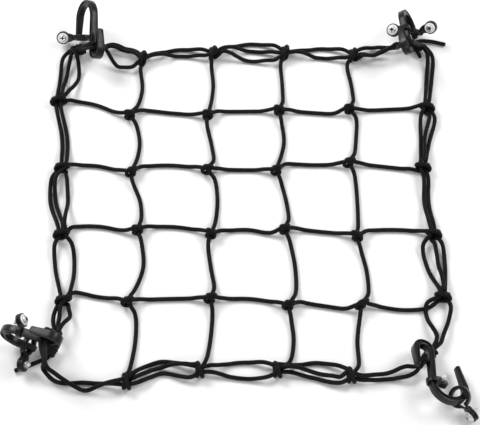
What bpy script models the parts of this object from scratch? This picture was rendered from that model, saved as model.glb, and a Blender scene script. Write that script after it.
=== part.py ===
"""Cargo net of elastic cord, laid out flat, with four S-hooks and seven strap clamps.

Metres, +Z up.  The origin is on the surface that the net lies on, under the middle of the model's box.
+X runs to the right along the net, +Y from its front edge to its back edge.

The net is a square of five by five cells.  A border cord goes round it twice.  The row cord zigzags
from the back left corner to the front left corner, and the column cord from the back left to the
back right corner.  Where they turn from one row or column to the next, they run along the border as
a third strand.  A border strand is a node of its own on each side, with its knots' turns on the row
or column cord that makes them.  At each corner all cords meet in a lashing under its hook's eye.
The tables below are in millimetres.
"""
import math

import bmesh
import bpy
from mathutils import Matrix, Vector

MM = 0.001
GAP = 0.4 * MM                   # between pieces that touch

# ---------------------------------------------------------------- driving dimensions
CELLS = 5                        # cells along each side
PITCH = 80 * MM                  # from knot to knot
CORD = 4.6 * MM                  # cord diameter
CORD_STEP = 17 * MM              # spacing of the points along a cord
KNOT_RADIUS = 6.0 * MM
KNOT_HALF = 5.5 * MM             # half length of a knot along its own cord
BORDER_KNOT_HALF = 7.5 * MM
KNOT_END = 0.70                  # radius at a knot's ends, as a share of its radius
KNOT_SHOULDER = 2.0 * MM         # from a knot's end to the bare cord
THIRD_CLEARANCE = 1.2 * MM       # from a border knot to the third strand that runs into it
CROSSING_HEIGHT = 5.2 * MM       # axis of the cord that a knot holds
PAIR_OFFSET = 2.6 * MM           # each border strand from the middle of its knot
FLOOR_AXIS = CORD / 2 + 0.1 * MM  # axis of a cord that lies on the ground
RISE_LENGTH = 18 * MM            # how far from a knot its cords start to rise
RISE_TOP = 1.2                   # more than 1, so that a cord is level inside its knot
STACK = CORD + 1.0 * MM          # height of one cord lying across another

# ---------------------------------------------------------------- where the knots lie
# (row, column): shift of the knot from the even grid, to the right and to the back.
# Rows count from the back, columns from the left.  Rows and columns 0 and 5 are the border.
KNOT_SHIFT = {
    (0, 1): (3, -10), (0, 2): (4, -3), (0, 3): (7, -2), (0, 4): (5, -6),
    (1, 0): (-10, 11), (1, 1): (-9, -7), (1, 2): (-1, -7), (1, 3): (-1, -1), (1, 4): (-2, 1), (1, 5): (5, 2),
    (2, 0): (0, 3), (2, 1): (-4, -2), (2, 2): (-1, 1), (2, 3): (-5, 0), (2, 4): (-5, 10), (2, 5): (-4, 3),
    (3, 0): (4, -1), (3, 1): (5, 5), (3, 2): (4, 0), (3, 3): (3, 6), (3, 4): (0, -3), (3, 5): (2, -1),
    (4, 0): (11, 0), (4, 1): (-2, -1), (4, 2): (4, 3), (4, 3): (6, -5), (4, 4): (2, -4), (4, 5): (7, 4),
    (5, 1): (0, -12), (5, 2): (-6, 1), (5, 3): (-7, 1), (5, 4): (-12, -5),
}

# Each span of a cord bows away from the straight line between its knots.
# One tuple for each cell: the bow near the span's start, in its middle and near its end.
# Rows run to the right and bow to the back; columns run to the front and bow to the right.
ROW_BOWS = {
    1: [(6, 7, 1), (8, 5, 2), (5, 4, 2), (1, -2, -4), (0, 1, 2)],
    2: [(6, 7, 2), (8, 9, 5), (2, 2, 2), (8, 4, 1), (1, 0, -1)],
    3: [(10, 9, 1), (6, 8, 5), (4, 4, -3), (3, 3, 3), (8, 9, 6)],
    4: [(11, 7, 4), (3, 3, 2), (2, 5, 3), (4, 0, -4), (-2, -9, -9)],
}
COLUMN_BOWS = {
    1: [(0, 7, 6), (7, 10, 5), (0, 6, 5), (6, 11, 5), (8, 8, 3)],
    2: [(-1, 3, 2), (-1, 4, 7), (8, 9, 5), (-3, 0, 4), (4, 6, 5)],
    3: [(-4, 0, 3), (3, 7, 3), (3, 6, 6), (5, 9, 8), (4, 11, 11)],
    4: [(-6, 0, 4), (8, 8, 6), (5, 5, 3), (3, 8, 8), (0, 1, 6)],
}

# The border, one entry for each cell from the side's first corner: the bows of its outer strand, its
# inner strand and, where a row or column turns there, its third strand.  Left and right run to the
# front and bow to the right; back and front run to the right and bow to the back.
BORDER_BOWS = {
    "left": [
        {"outer": (-8, -6, -3), "inner": (1, 1, 2), "third": (10, 15, 9)},
        {"outer": (-2, 1, 0), "inner": (3, 7, 6)},
        {"outer": (-12, -13, -5), "inner": (-7, -7, 1), "third": (5, 6, 4)},
        {"outer": (-8, -8, -4), "inner": (11, 12, 8)},
        {"outer": (-6, -9, -6), "inner": (-2, -2, -2), "third": (5, 9, 2)},
    ],
    "right": [
        {"outer": (10, 8, 4), "inner": (4, 2, -1)},
        {"outer": (10, 6, 3), "inner": (-6, -4, -3), "third": (4, 0, 1)},
        {"outer": (4, 1, 2), "inner": (-1, -4, -3)},
        {"outer": (8, 8, 4), "inner": (-13, -11, -4), "third": (0, 1, 2)},
        {"outer": (9, 8, 4), "inner": (-16, -14, -4)},
    ],
    "back": [
        {"outer": (9, 9, 7), "inner": (4, 4, 2), "third": (-8, -18, -15)},
        {"outer": (6, 12, 8), "inner": (2, 3, -1)},
        {"outer": (9, 16, 12), "inner": (6, 6, 2), "third": (-1, -8, -10)},
        {"outer": (4, 11, 9), "inner": (0, -2, -3)},
        {"outer": (7, 8, 2), "inner": (-1, -3, -2), "third": (-5, -8, -5)},
    ],
    "front": [
        {"outer": (-11, -6, -4), "inner": (-5, -15, -4)},
        {"outer": (-2, 5, -6), "inner": (11, 18, 9), "third": (4, 11, 7)},
        {"outer": (-2, -7, -8), "inner": (5, 10, 9)},
        {"outer": (-1, -4, -9), "inner": (5, 13, 10), "third": (2, 1, -4)},
        {"outer": (-6, -6, -7), "inner": (-3, -2, 4)},
    ],
}

# Each corner's lashing: its knotted bundle from the left or right side's strands to the back or
# front side's strands, as (right, back, height) places, and the radius of the bundle there.
LASHINGS = {
    "back_left": [(-196, 201, 6, 5.0), (-190, 203, 7, 6.0), (-181, 202, 8, 5.2), (-173, 203, 7, 4.8),
                  (-165, 204, 6, 5.0)],
    "back_right": [(204, 207, 6, 5.0), (198, 209, 7, 5.8), (193, 207, 8, 6.0), (185, 204, 7, 4.8),
                   (177, 205, 6, 5.0)],
    "front_left": [(-192, -163, 6, 5.0), (-196, -172, 7, 5.6), (-200, -180, 8, 6.4), (-202, -187, 7, 6.2),
                   (-203, -195, 6, 5.0)],
    "front_right": [(198, -169, 6, 5.0), (194, -175, 5, 4.5), (188, -183, 5, 4.2), (182, -191, 5, 4.5),
                    (176, -196, 6, 5.0)],
}
# Free ends of cord, from their lashing: (right, back, height) of each point.
FREE_ENDS = {
    "back_right": [[(194, 211, 8), (206, 217, 5), (218, 217, 3), (233, 213, 2.5)],
                   [(194, 207, 8), (199, 202, 6), (203, 194, 3)]],
    "front_left": [[(-201, -185, 5), (-213, -189, 3), (-225, -194, 2.5), (-235, -198, 2.5)]],
}

# ---------------------------------------------------------------- hooks and clamps, in millimetres
HOOK = dict(shaft=40, bend=17.5, eye=8, tongue=22, thickness=5, chamfer=1.2,
            eye_width=9, bend_width=7.5, tip_width=6)
# The place of the shaft's foot, the heading of the hook along its shaft, how far it rises along the
# shaft, how far it is rolled up towards its tongue, on which side of the shaft the tongue is, how far
# the tip's arm leans in to the shaft, and how long that arm is.  Angles are in degrees.
HOOK_POSES = {
    "back_left": dict(place=(-171, 186, 29), heading=90, rise=25, roll=57, side=1, lean=-8, arm=25),
    "back_right": dict(place=(185, 180, 41), heading=97, rise=0, roll=62, side=-1, lean=-20, arm=11),
    "front_left": dict(place=(-192, -185, 45), heading=160, rise=-3, roll=92, side=1, lean=-8, arm=17),
    "front_right": dict(place=(188, -183, 16), heading=-91, rise=15, roll=19, side=1, lean=14, arm=25),
}
# A strap clamp is a ring with a tab, held shut by a screw through the tab.  A loose one hangs on the
# hook's bend or tip, and a tight one sits on its shaft.  Each has its ring's radius and its screw's place.
CLAMP = dict(strap=2.0, width=5, tab_thickness=5.4, tab_width=9, tab_round=6.8, ring_sides=28)
CLAMP_SIZES = {"loose": dict(ring=11, screw=22), "tight": dict(ring=5.5, screw=13.5)}
SCREW = dict(head=4, head_height=2.6, head_sides=20, washer=6, washer_height=1, washer_sides=24,
             shank=1.9, length=12, shank_sides=12, nut=3.9, nut_height=3.2, thread_room=0.35, overlap=0.2)
# The middle of each ring and its axis, or how far along its hook's shaft it sits; the way to its tab,
# and the way that the screw's head looks.
CLAMP_POSES = {
    "back_left": dict(place=(-187, 216, 12), axis=(0, 87, 50), tab=(-100, 0, 0), head=(0, -70, 70)),
    "back_right_outer": dict(place=(195, 224, 13), axis=(20, 85, 50), tab=(86, -9, 49), head=(0, -70, 70)),
    "back_right_inner": dict(hook="back_right", along=26, tab=(-90, 20, -35), head=(-15, -45, 88)),
    "front_left_lower": dict(place=(-221, -174, 13), axis=(85, -45, 17), tab=(-20, -97, 0), head=(-85, -20, -30)),
    "front_left_upper": dict(hook="front_left", along=36, tab=(0, 97, -20), head=(80, -35, 50)),
    "front_right_lower": dict(place=(214, -234, 20), axis=(-52, -28, 80), tab=(57, -64, -52), head=(-70, -68, -10)),
    "front_right_upper": dict(hook="front_right", along=38, tab=(70, 22, -68), head=(-70, -60, -35)),
}

# ---------------------------------------------------------------- scene and materials
for old in list(bpy.data.objects):
    bpy.data.objects.remove(old, do_unlink=True)


def material(name, colour, roughness, metallic=0.0):
    """A plain material with one colour."""
    made = bpy.data.materials.new(name)
    made.use_nodes = True
    shader = made.node_tree.nodes["Principled BSDF"]
    shader.inputs["Base Color"].default_value = (*colour, 1.0)
    shader.inputs["Roughness"].default_value = roughness
    shader.inputs["Metallic"].default_value = metallic
    return made


CORD_LOOK = material("cord", (0.012, 0.012, 0.013), 0.85)
HOOK_LOOK = material("hook_plastic", (0.02, 0.02, 0.021), 0.45)
CLAMP_LOOK = material("clamp_plastic", (0.016, 0.016, 0.017), 0.5)
STEEL_LOOK = material("zinc_steel", (0.75, 0.75, 0.76), 0.3, 1.0)


def add_object(name, data, look):
    """Put a mesh or a curve into the scene as one named object."""
    data.materials.append(look)
    made = bpy.data.objects.new(name, data)
    bpy.context.scene.collection.objects.link(made)
    return made


# ---------------------------------------------------------------- lines
class Line:
    """A smooth line through given points, as fine steps that know how far along they are."""

    FINE = 10                    # fine steps between two given points

    def __init__(self, points):
        ends = [2 * points[0] - points[1], *points, 2 * points[-1] - points[-2]]
        self.points = []
        for before, start, end, after in zip(ends, ends[1:], ends[2:], ends[3:]):
            for step in range(self.FINE):
                t = step / self.FINE
                self.points.append(0.5 * (2 * start + (end - before) * t
                                          + (2 * before - 5 * start + 4 * end - after) * t ** 2
                                          + (3 * start - before - 3 * end + after) * t ** 3))
        self.points.append(points[-1].copy())
        self.measure()

    def measure(self):
        """Work out how far along the line each fine point is."""
        self.along = [0.0]
        for start, end in zip(self.points, self.points[1:]):
            self.along.append(self.along[-1] + (end - start).length)

    @property
    def length(self):
        """The line's whole length."""
        return self.along[-1]

    def at(self, distance):
        """The point at a distance along the line."""
        for index in range(1, len(self.along)):
            if distance <= self.along[index]:
                step = self.along[index] - self.along[index - 1]
                t = (distance - self.along[index - 1]) / step if step else 0.0
                return self.points[index - 1].lerp(self.points[index], t)
        return self.points[-1].copy()

    def of_given(self, index):
        """How far along the line the given point with this number is."""
        return self.along[index * self.FINE]


def smooth_step(value):
    """A value from 0 to 1, eased at both ends."""
    value = min(max(value, 0.0), 1.0)
    return value * value * (3 - 2 * value)


def rise_at_knots(line, knots, low, high):
    """Lay a line on the ground, and lift it to its knots, given by their distance along it."""
    for index, here in enumerate(line.along):
        nearest = min((abs(here - knot) for knot in knots), default=RISE_LENGTH)
        line.points[index].z = low + (high - low) * smooth_step(RISE_TOP - nearest / RISE_LENGTH)
    line.measure()


def lay_over(line, laid):
    """Lift a line where it crosses lines that already lie there, with a gentle way up and down."""
    reach, slope = 8 * MM, 0.6
    raw = []
    for point in line.points:
        height = point.z
        for other in laid:
            for spot in other.points:
                apart = math.hypot(point.x - spot.x, point.y - spot.y)
                if apart < STACK:
                    height = max(height, spot.z + math.sqrt(STACK ** 2 - apart ** 2))
        raw.append(height)
    for index, here in enumerate(line.along):
        line.points[index].z = max(height - slope * max(abs(here - there) - reach, 0.0)
                                   for height, there in zip(raw, line.along))
    line.measure()


def tube(name, spots, look):
    """A cord solid: a curve with a point at each spot, a place and a radius."""
    curve = bpy.data.curves.new(name, "CURVE")
    curve.dimensions = "3D"
    curve.bevel_depth = CORD / 2
    curve.bevel_resolution = 1
    curve.use_fill_caps = True
    spline = curve.splines.new("POLY")
    spline.points.add(len(spots) - 1)
    for point, (place, radius) in zip(spline.points, spots):
        point.co = (*place, 1.0)
        point.radius = radius / (CORD / 2)
    return add_object(name, curve, look)


def spots_along(line, knots=(), extra=0.0, swollen=True):
    """Spots for a tube along a line: even steps, with a swelling at each knot.

    A knot is its distance along the line and its half length.  A channel for the same cord has the
    same spots, with no swellings.
    """
    radius = CORD / 2 + extra
    stops = {0.0: radius, line.length: radius}
    for middle, half in knots:
        for side in (-1, 1):
            stops[middle + side * (half + KNOT_SHOULDER)] = radius
            stops[middle + side * half] = KNOT_RADIUS * KNOT_END
            stops[middle + side * half / 2] = KNOT_RADIUS
    marks = [here for here in sorted(stops) if 0.0 <= here <= line.length]
    for middle, half in knots:
        if middle < RISE_LENGTH:
            stops[marks[0]] = KNOT_RADIUS * KNOT_END
        if middle > line.length - RISE_LENGTH:
            stops[marks[-1]] = KNOT_RADIUS * KNOT_END
    spots = []
    for start, end in zip(marks, marks[1:]):
        spots.append((line.at(start), stops[start]))
        if stops[start] == stops[end] == radius:
            count = max(round((end - start) / CORD_STEP), 1)
            spots += [(line.at(start + (end - start) * k / count), radius) for k in range(1, count)]
    spots.append((line.at(marks[-1]), stops[marks[-1]]))
    return spots if swollen else [(place, radius) for place, _ in spots]


def as_mesh(curve_object, keep=True):
    """Turn a curve object into a mesh object of the same name."""
    graph = bpy.context.evaluated_depsgraph_get()
    mesh = bpy.data.meshes.new_from_object(curve_object.evaluated_get(graph))
    name, look = curve_object.name, curve_object.data.materials[0]
    bpy.data.objects.remove(curve_object, do_unlink=True)
    mesh.materials.clear()
    shape = bmesh.new()
    shape.from_mesh(mesh)
    bmesh.ops.remove_doubles(shape, verts=shape.verts, dist=0.001 * MM)
    bmesh.ops.recalc_face_normals(shape, faces=shape.faces)
    shape.to_mesh(mesh)
    shape.free()
    made = add_object(name, mesh, look)
    if not keep:
        made.hide_render = True
        made.display_type = "WIRE"
    return made


def boolean(target, cutter, operation):
    """Cut a hidden cutter from an object, or join it.

    The exact solver loses the whole of a cord where two channels meet edge to edge in a knot.
    """
    modifier = target.modifiers.new(cutter.name, "BOOLEAN")
    modifier.operation = operation
    modifier.solver = "MANIFOLD"
    modifier.object = cutter


def without_slivers(made):
    """Apply an object's cuts, and drop the slivers that they leave loose beside its one body."""
    graph = bpy.context.evaluated_depsgraph_get()
    mesh = bpy.data.meshes.new_from_object(made.evaluated_get(graph))
    made.modifiers.clear()
    shape = bmesh.new()
    shape.from_mesh(mesh)
    groups, left = [], set(shape.verts)
    while left:
        group, edge_of_group = set(), [left.pop()]
        while edge_of_group:
            vertex = edge_of_group.pop()
            group.add(vertex)
            for edge in vertex.link_edges:
                other = edge.other_vert(vertex)
                if other in left:
                    left.remove(other)
                    edge_of_group.append(other)
        groups.append(group)
    body = max(groups, key=len)
    bmesh.ops.delete(shape, geom=[vertex for group in groups if group is not body for vertex in group],
                     context="VERTS")
    shape.to_mesh(mesh)
    shape.free()
    made.data = mesh


def flat(right, back, height=0.0):
    """A point from a table's millimetres."""
    return Vector((right * MM, back * MM, height * MM))


# ---------------------------------------------------------------- the net's lines
def knot_place(row, column):
    """Where a knot lies on the ground."""
    right, back = KNOT_SHIFT[row, column]
    half = CELLS / 2
    return Vector(((column - half) * PITCH + right * MM, (half - row) * PITCH + back * MM, 0.0))


def bowed(start, end, bows):
    """The points of a span's bow, between its ends."""
    way = end - start
    aside = Vector((-way.y, way.x, 0.0)).normalized()
    return [start + way * share + aside * bow * MM for share, bow in zip((1 / 6, 1 / 2, 5 / 6), bows)]


def crossing_line(knots, bows):
    """A row or a column through its knots, with its end tails in the border knots."""
    first = knots[0] - (knots[1] - knots[0]).normalized() * BORDER_KNOT_HALF
    last = knots[-1] + (knots[-1] - knots[-2]).normalized() * BORDER_KNOT_HALF
    points, places = [first], []
    for index, knot in enumerate(knots):
        places.append(len(points))
        points.append(knot)
        if index < len(bows):
            points += bowed(knot, knots[index + 1], bows[index])
    line = Line([*points, last])
    return line, [line.of_given(place) for place in places]


# Each side: its knots from its first corner to its last, the two corners, and the way outwards.
SIDES = {
    "left": ([(row, 0) for row in range(1, CELLS)], "back_left", "front_left", Vector((-1, 0, 0))),
    "right": ([(row, CELLS) for row in range(1, CELLS)], "back_right", "front_right", Vector((1, 0, 0))),
    "back": ([(0, column) for column in range(1, CELLS)], "back_left", "back_right", Vector((0, 1, 0))),
    "front": ([(CELLS, column) for column in range(1, CELLS)], "front_left", "front_right", Vector((0, -1, 0))),
}
CORNER_CLEARANCE = 3.0 * MM      # from a lashing's end to the strands that enter it


def corner_end(corner, side):
    """Where a side's strands meet a corner's lashing, and the way across them, out from the net."""
    bundle = [flat(right, back) for right, back, _, _ in LASHINGS[corner]]
    if side in ("left", "right"):
        end, inner = bundle[0], bundle[1]
    else:
        end, inner = bundle[-1], bundle[-2]
    way = (end - inner).normalized()
    across = Vector((-way.y, way.x, 0.0))
    return end + way * CORNER_CLEARANCE, across if across.dot(end) > 0 else -across


def strand_lines(side):
    """The lines of a side's two border strands and of its third strands, from bottom to top."""
    numbers, first_corner, last_corner, outward = SIDES[side]
    start, across_start = corner_end(first_corner, side)
    end, across_end = corner_end(last_corner, side)
    nodes = [start, *[knot_place(*number) for number in numbers], end]
    across = [across_start, *[outward] * len(numbers), across_end]
    laid = {}
    for strand, sign in (("outer", 1), ("inner", -1)):
        points, knots = [], []
        for index, node in enumerate(nodes):
            knots.append(len(points))
            points.append(node + across[index] * sign * PAIR_OFFSET)
            if index < CELLS:
                points += bowed(node, nodes[index + 1], BORDER_BOWS[side][index][strand])
        line = Line(points)
        stops = [line.of_given(knot) for knot in knots]
        rise_at_knots(line, stops, FLOOR_AXIS, CROSSING_HEIGHT)
        lay_over(line, list(laid.values()))
        laid[strand] = line
    for index in range(CELLS):
        bows = BORDER_BOWS[side][index].get("third")
        if bows:
            laid[f"third_{index + 1}"] = third_strand(nodes[index], nodes[index + 1], bows,
                                                      index > 0, index < CELLS - 1, list(laid.values()))
    return laid


def third_strand(start, end, bows, knot_at_start, knot_at_end, laid):
    """A third strand of one cell, ending clear of the knots that it runs into."""
    middle = bowed(start, end, bows)
    clear = KNOT_RADIUS + THIRD_CLEARANCE
    first = start + (middle[0] - start).normalized() * (clear if knot_at_start else 0.0)
    last = end + (middle[-1] - end).normalized() * (clear if knot_at_end else 0.0)
    line = Line([first, *middle, last])
    rise_at_knots(line, [0.0, line.length], FLOOR_AXIS, CROSSING_HEIGHT)
    lay_over(line, laid)
    return line


# ---------------------------------------------------------------- the net's solids
def build_net():
    """The border strands, third strands, rows, columns and lashings."""
    borders = {side: strand_lines(side) for side in SIDES}
    passages = {}
    for side, lines in borders.items():
        for strand, line in lines.items():
            tube(f"border_{side}_{strand}", spots_along(line), CORD_LOOK)
        passages[side] = [channel(f"{side}_{strand}", lines[strand]) for strand in ("outer", "inner")]

    columns = {}
    for column in range(1, CELLS):
        knots = [knot_place(row, column) for row in range(CELLS + 1)]
        line, stops = crossing_line(knots, COLUMN_BOWS[column])
        rise_at_knots(line, stops, FLOOR_AXIS, CROSSING_HEIGHT)
        lift_ends(line, stops)
        swellings = [(stops[0], BORDER_KNOT_HALF), (stops[-1], BORDER_KNOT_HALF)]
        columns[column] = channel(f"column_{column}", line, swellings)
        solid = as_mesh(tube(f"column_cord_{column}", spots_along(line, swellings), CORD_LOOK))
        for passage in passages["back"] + passages["front"]:
            boolean(solid, passage, "DIFFERENCE")
        without_slivers(solid)

    for row in range(1, CELLS):
        knots = [knot_place(row, column) for column in range(CELLS + 1)]
        line, stops = crossing_line(knots, ROW_BOWS[row])
        rise_at_knots(line, stops, FLOOR_AXIS, KNOT_RADIUS)
        swellings = [(stops[0], BORDER_KNOT_HALF), *[(stop, KNOT_HALF) for stop in stops[1:-1]],
                     (stops[-1], BORDER_KNOT_HALF)]
        solid = as_mesh(tube(f"row_cord_{row}", spots_along(line, swellings), CORD_LOOK))
        for passage in passages["left"] + passages["right"] + list(columns.values()):
            boolean(solid, passage, "DIFFERENCE")
        without_slivers(solid)
    build_lashings()


def lift_ends(line, stops):
    """Bring a column's two border knots up to the middle of their swelling."""
    for index, here in enumerate(line.along):
        nearest = min(abs(here - stops[0]), abs(here - stops[-1]))
        share = smooth_step(RISE_TOP - nearest / RISE_LENGTH)
        line.points[index].z += (KNOT_RADIUS - CROSSING_HEIGHT) * share
    line.measure()


def channel(name, line, knots=()):
    """The cutter that leaves room for a cord in the knots that hold it."""
    spots = spots_along(line, knots, extra=GAP, swollen=False)
    return as_mesh(tube(f"channel_{name}", spots, CORD_LOOK), keep=False)


def build_lashings():
    """The knotted bundles at the corners, with the free ends that come out of them."""
    for corner, places in LASHINGS.items():
        line = Line([flat(*place) for *place, _ in places])
        stops = [line.of_given(index) for index in range(len(places))]
        spots = [(line.at(stop), radius * MM) for stop, (*_, radius) in zip(stops, places)]
        solid = as_mesh(tube(f"lashing_{corner}", spots, CORD_LOOK))
        for number, points in enumerate(FREE_ENDS.get(corner, ()), 1):
            route = Line([flat(*point) for point in points])
            end = tube(f"free_end_{corner}_{number}", spots_along(route), CORD_LOOK)
            boolean(solid, as_mesh(end, keep=False), "UNION")


# ---------------------------------------------------------------- hooks
def hook_path(lean, arm):
    """The hook's centre line from its tongue to its tip: (u, v, width) in millimetres.

    u runs from the tip's arm to the tongue, v along the shaft to the big bend.
    """
    h = HOOK
    path = [(2 * h["eye"] - 1, h["tongue"], h["eye_width"]), (2 * h["eye"], 2, h["eye_width"])]
    for step in range(1, 9):
        angle = -math.pi * step / 8
        path.append((h["eye"] * (1 + math.cos(angle)), h["eye"] * math.sin(angle), h["eye_width"]))
    path.append((0, 4, h["eye_width"]))
    path.append((0, h["shaft"], h["bend_width"]))
    turn = math.pi + math.radians(lean)
    for step in range(1, 11):
        angle = turn * step / 10
        path.append((h["bend"] * (math.cos(angle) - 1), h["shaft"] + h["bend"] * math.sin(angle), h["bend_width"]))
    u, v, _ = path[-1]
    path.append((u - arm * math.sin(turn), v + arm * math.cos(turn), h["tip_width"]))
    return path


def ribbon(path, thickness, chamfer):
    """A mesh swept along a flat path, with a chamfered rectangle as its section.

    A path point is (u, v, width): the section is as thick as given in the path's plane and as wide
    as the point says across it.
    """
    shape = bmesh.new()
    rings = []
    for index, (u, v, width) in enumerate(path):
        before, after = path[max(index - 1, 0)], path[min(index + 1, len(path) - 1)]
        way = Vector((after[0] - before[0], after[1] - before[1])).normalized()
        if 0 < index < len(path) - 1:
            turn = Vector((path[index][0] - before[0], path[index][1] - before[1])).normalized()
            stretch = 1 / max(way.dot(turn), 0.5)
        else:
            stretch = 1.0
        half_t, half_w = thickness / 2 * stretch, width / 2
        section = [(half_t, half_w - chamfer), (half_t - chamfer, half_w), (chamfer - half_t, half_w),
                   (-half_t, half_w - chamfer), (-half_t, chamfer - half_w), (chamfer - half_t, -half_w),
                   (half_t - chamfer, -half_w), (half_t, chamfer - half_w)]
        rings.append([shape.verts.new(((u + way.y * a) * MM, (v - way.x * a) * MM, b * MM)) for a, b in section])
    for ring, following in zip(rings, rings[1:]):
        for side in range(len(ring)):
            nearby = (side + 1) % len(ring)
            shape.faces.new((ring[side], ring[nearby], following[nearby], following[side]))
    shape.faces.new(list(reversed(rings[0])))
    shape.faces.new(rings[-1])
    bmesh.ops.recalc_face_normals(shape, faces=shape.faces)
    mesh = bpy.data.meshes.new("ribbon")
    shape.to_mesh(mesh)
    shape.free()
    return mesh


def hook_pose(corner):
    """A hook's place and directions: u, v and the normal of its plane."""
    place, heading, rise, roll, side = (HOOK_POSES[corner][key] for key in
                                        ("place", "heading", "rise", "roll", "side"))
    heading, rise, roll = (math.radians(angle) for angle in (heading, rise, roll))
    v = Vector((math.cos(heading) * math.cos(rise), math.sin(heading) * math.cos(rise), math.sin(rise)))
    level = Vector((math.sin(heading), -math.cos(heading), 0)) * side
    upward = level.cross(v) * side
    u = level * math.cos(roll) + upward * math.sin(roll)
    return pose(flat(*place), u, v)


def pose(place, x_axis, y_axis):
    """A matrix from a place and two directions."""
    x_axis = x_axis.normalized()
    z_axis = x_axis.cross(y_axis).normalized()
    y_axis = z_axis.cross(x_axis)
    turned = Matrix((x_axis, y_axis, z_axis)).transposed().to_4x4()
    return Matrix.Translation(place) @ turned


def build_hooks():
    """The four hooks, each one bent ribbon with chamfered edges."""
    for corner, stance in HOOK_POSES.items():
        shape = ribbon(hook_path(stance["lean"], stance["arm"]), HOOK["thickness"], HOOK["chamfer"])
        hook = add_object(f"hook_{corner}", shape, HOOK_LOOK)
        hook.matrix_world = hook_pose(corner)


# ---------------------------------------------------------------- clamps and their screws
def prism(name, outline, low, high, place, look, keep=True):
    """A solid with a flat outline, from low to high along its pose's third axis."""
    shape = bmesh.new()
    base = [shape.verts.new((x * MM, y * MM, low * MM)) for x, y in outline]
    bottom = shape.faces.new(base)
    raised = bmesh.ops.extrude_face_region(shape, geom=[bottom])
    moved = [item for item in raised["geom"] if isinstance(item, bmesh.types.BMVert)]
    bmesh.ops.translate(shape, verts=moved, vec=(0, 0, (high - low) * MM))
    bmesh.ops.recalc_face_normals(shape, faces=shape.faces)
    shape.transform(place)
    mesh = bpy.data.meshes.new(name)
    shape.to_mesh(mesh)
    shape.free()
    made = add_object(name, mesh, look)
    if not keep:
        made.hide_render = True
        made.display_type = "WIRE"
    return made


def circle(radius, count, middle=0.0):
    """The outline of a circle, with its middle on the first axis."""
    return [(middle + radius * math.cos(2 * math.pi * k / count), radius * math.sin(2 * math.pi * k / count))
            for k in range(count)]


def tab_outline(ring, screw):
    """The outline of a clamp's tab: straight from the ring, and round about its screw."""
    half, reach = CLAMP["tab_width"] / 2, CLAMP["tab_round"]
    first = math.asin(half / reach)
    neck = screw - reach * math.cos(first)
    outline = [(ring, -half), (neck, -half)]
    for step in range(1, 12):
        angle = -math.pi + first + (2 * math.pi - 2 * first) * step / 12
        outline.append((screw + reach * math.cos(angle), reach * math.sin(angle)))
    return outline + [(neck, half), (ring, half)]


def build_clamps():
    """Each clamp with its screw, captive washer and nut."""
    for name, stance in CLAMP_POSES.items():
        tab, head = Vector(stance["tab"]), Vector(stance["head"])
        if "hook" in stance:
            hook = hook_pose(stance["hook"])
            place, axis = hook @ Vector((0, stance["along"] * MM, 0)), hook.to_3x3() @ Vector((0, 1, 0))
            size = CLAMP_SIZES["tight"]
        else:
            place, axis = flat(*stance["place"]), Vector(stance["axis"])
            size = CLAMP_SIZES["loose"]
        ring_pose = pose(place, axis.orthogonal(), axis.cross(axis.orthogonal()))
        tab_pose = pose(place, tab, head.cross(tab))
        half, top = CLAMP["width"] / 2, CLAMP["tab_thickness"] / 2
        clip = prism(f"clamp_{name}", circle(size["ring"] + CLAMP["strap"] / 2, CLAMP["ring_sides"]), -half, half,
                     ring_pose, CLAMP_LOOK)
        outline = tab_outline(size["ring"] - CLAMP["strap"] / 2, size["screw"])
        boolean(clip, prism(f"tab_{name}", outline, -top, top, tab_pose, CLAMP_LOOK, keep=False), "UNION")
        inside = circle(size["ring"] - CLAMP["strap"] / 2, CLAMP["ring_sides"])
        boolean(clip, prism(f"inside_{name}", inside, -4 * half, 4 * half, ring_pose, CLAMP_LOOK, keep=False),
                "DIFFERENCE")
        hole = circle(SCREW["shank"] + GAP / MM, SCREW["shank_sides"], size["screw"])
        boolean(clip, prism(f"hole_{name}", hole, -2 * top, 2 * top, tab_pose, CLAMP_LOOK, keep=False),
                "DIFFERENCE")
        build_screw(name, tab_pose @ Matrix.Translation((size["screw"] * MM, 0, 0)), top + GAP / MM)


def build_screw(name, place, seat):
    """A screw with its captive washer, its head up, and the nut below; seat is the half grip."""
    screw = SCREW
    low = seat + screw["washer_height"]
    head = prism(f"screw_{name}", circle(screw["head"], screw["head_sides"]), low - screw["overlap"],
                 low + screw["head_height"], place, STEEL_LOOK)
    washer = prism(f"washer_{name}", circle(screw["washer"], screw["washer_sides"]), seat, low, place, STEEL_LOOK,
                   keep=False)
    boolean(head, washer, "UNION")
    shank = prism(f"shank_{name}", circle(screw["shank"], screw["shank_sides"]), low - screw["length"], low, place,
                  STEEL_LOOK, keep=False)
    boolean(head, shank, "UNION")
    nut = prism(f"nut_{name}", circle(screw["nut"], 6), -seat - screw["nut_height"], -seat, place, STEEL_LOOK)
    thread = prism(f"thread_{name}", circle(screw["shank"] + screw["thread_room"], screw["shank_sides"]),
                   -seat - screw["nut_height"] - 1, 1 - seat, place, STEEL_LOOK, keep=False)
    boolean(nut, thread, "DIFFERENCE")


def settle():
    """Move the model so that its box stands on the ground with its middle at the origin."""
    bpy.context.view_layer.update()
    graph = bpy.context.evaluated_depsgraph_get()
    corners = []
    for made in bpy.data.objects:
        if not made.hide_render:
            shape = made.evaluated_get(graph)
            corners += [shape.matrix_world @ vertex.co for vertex in shape.to_mesh().vertices]
    low, high = ([pick(corner[axis] for corner in corners) for axis in range(3)] for pick in (min, max))
    shift = Vector((-(low[0] + high[0]) / 2, -(low[1] + high[1]) / 2, -low[2]))
    for made in bpy.data.objects:
        made.location += shift
    print("moved by", [round(value / MM, 3) for value in shift])


build_net()
build_hooks()
build_clamps()
settle()
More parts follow.
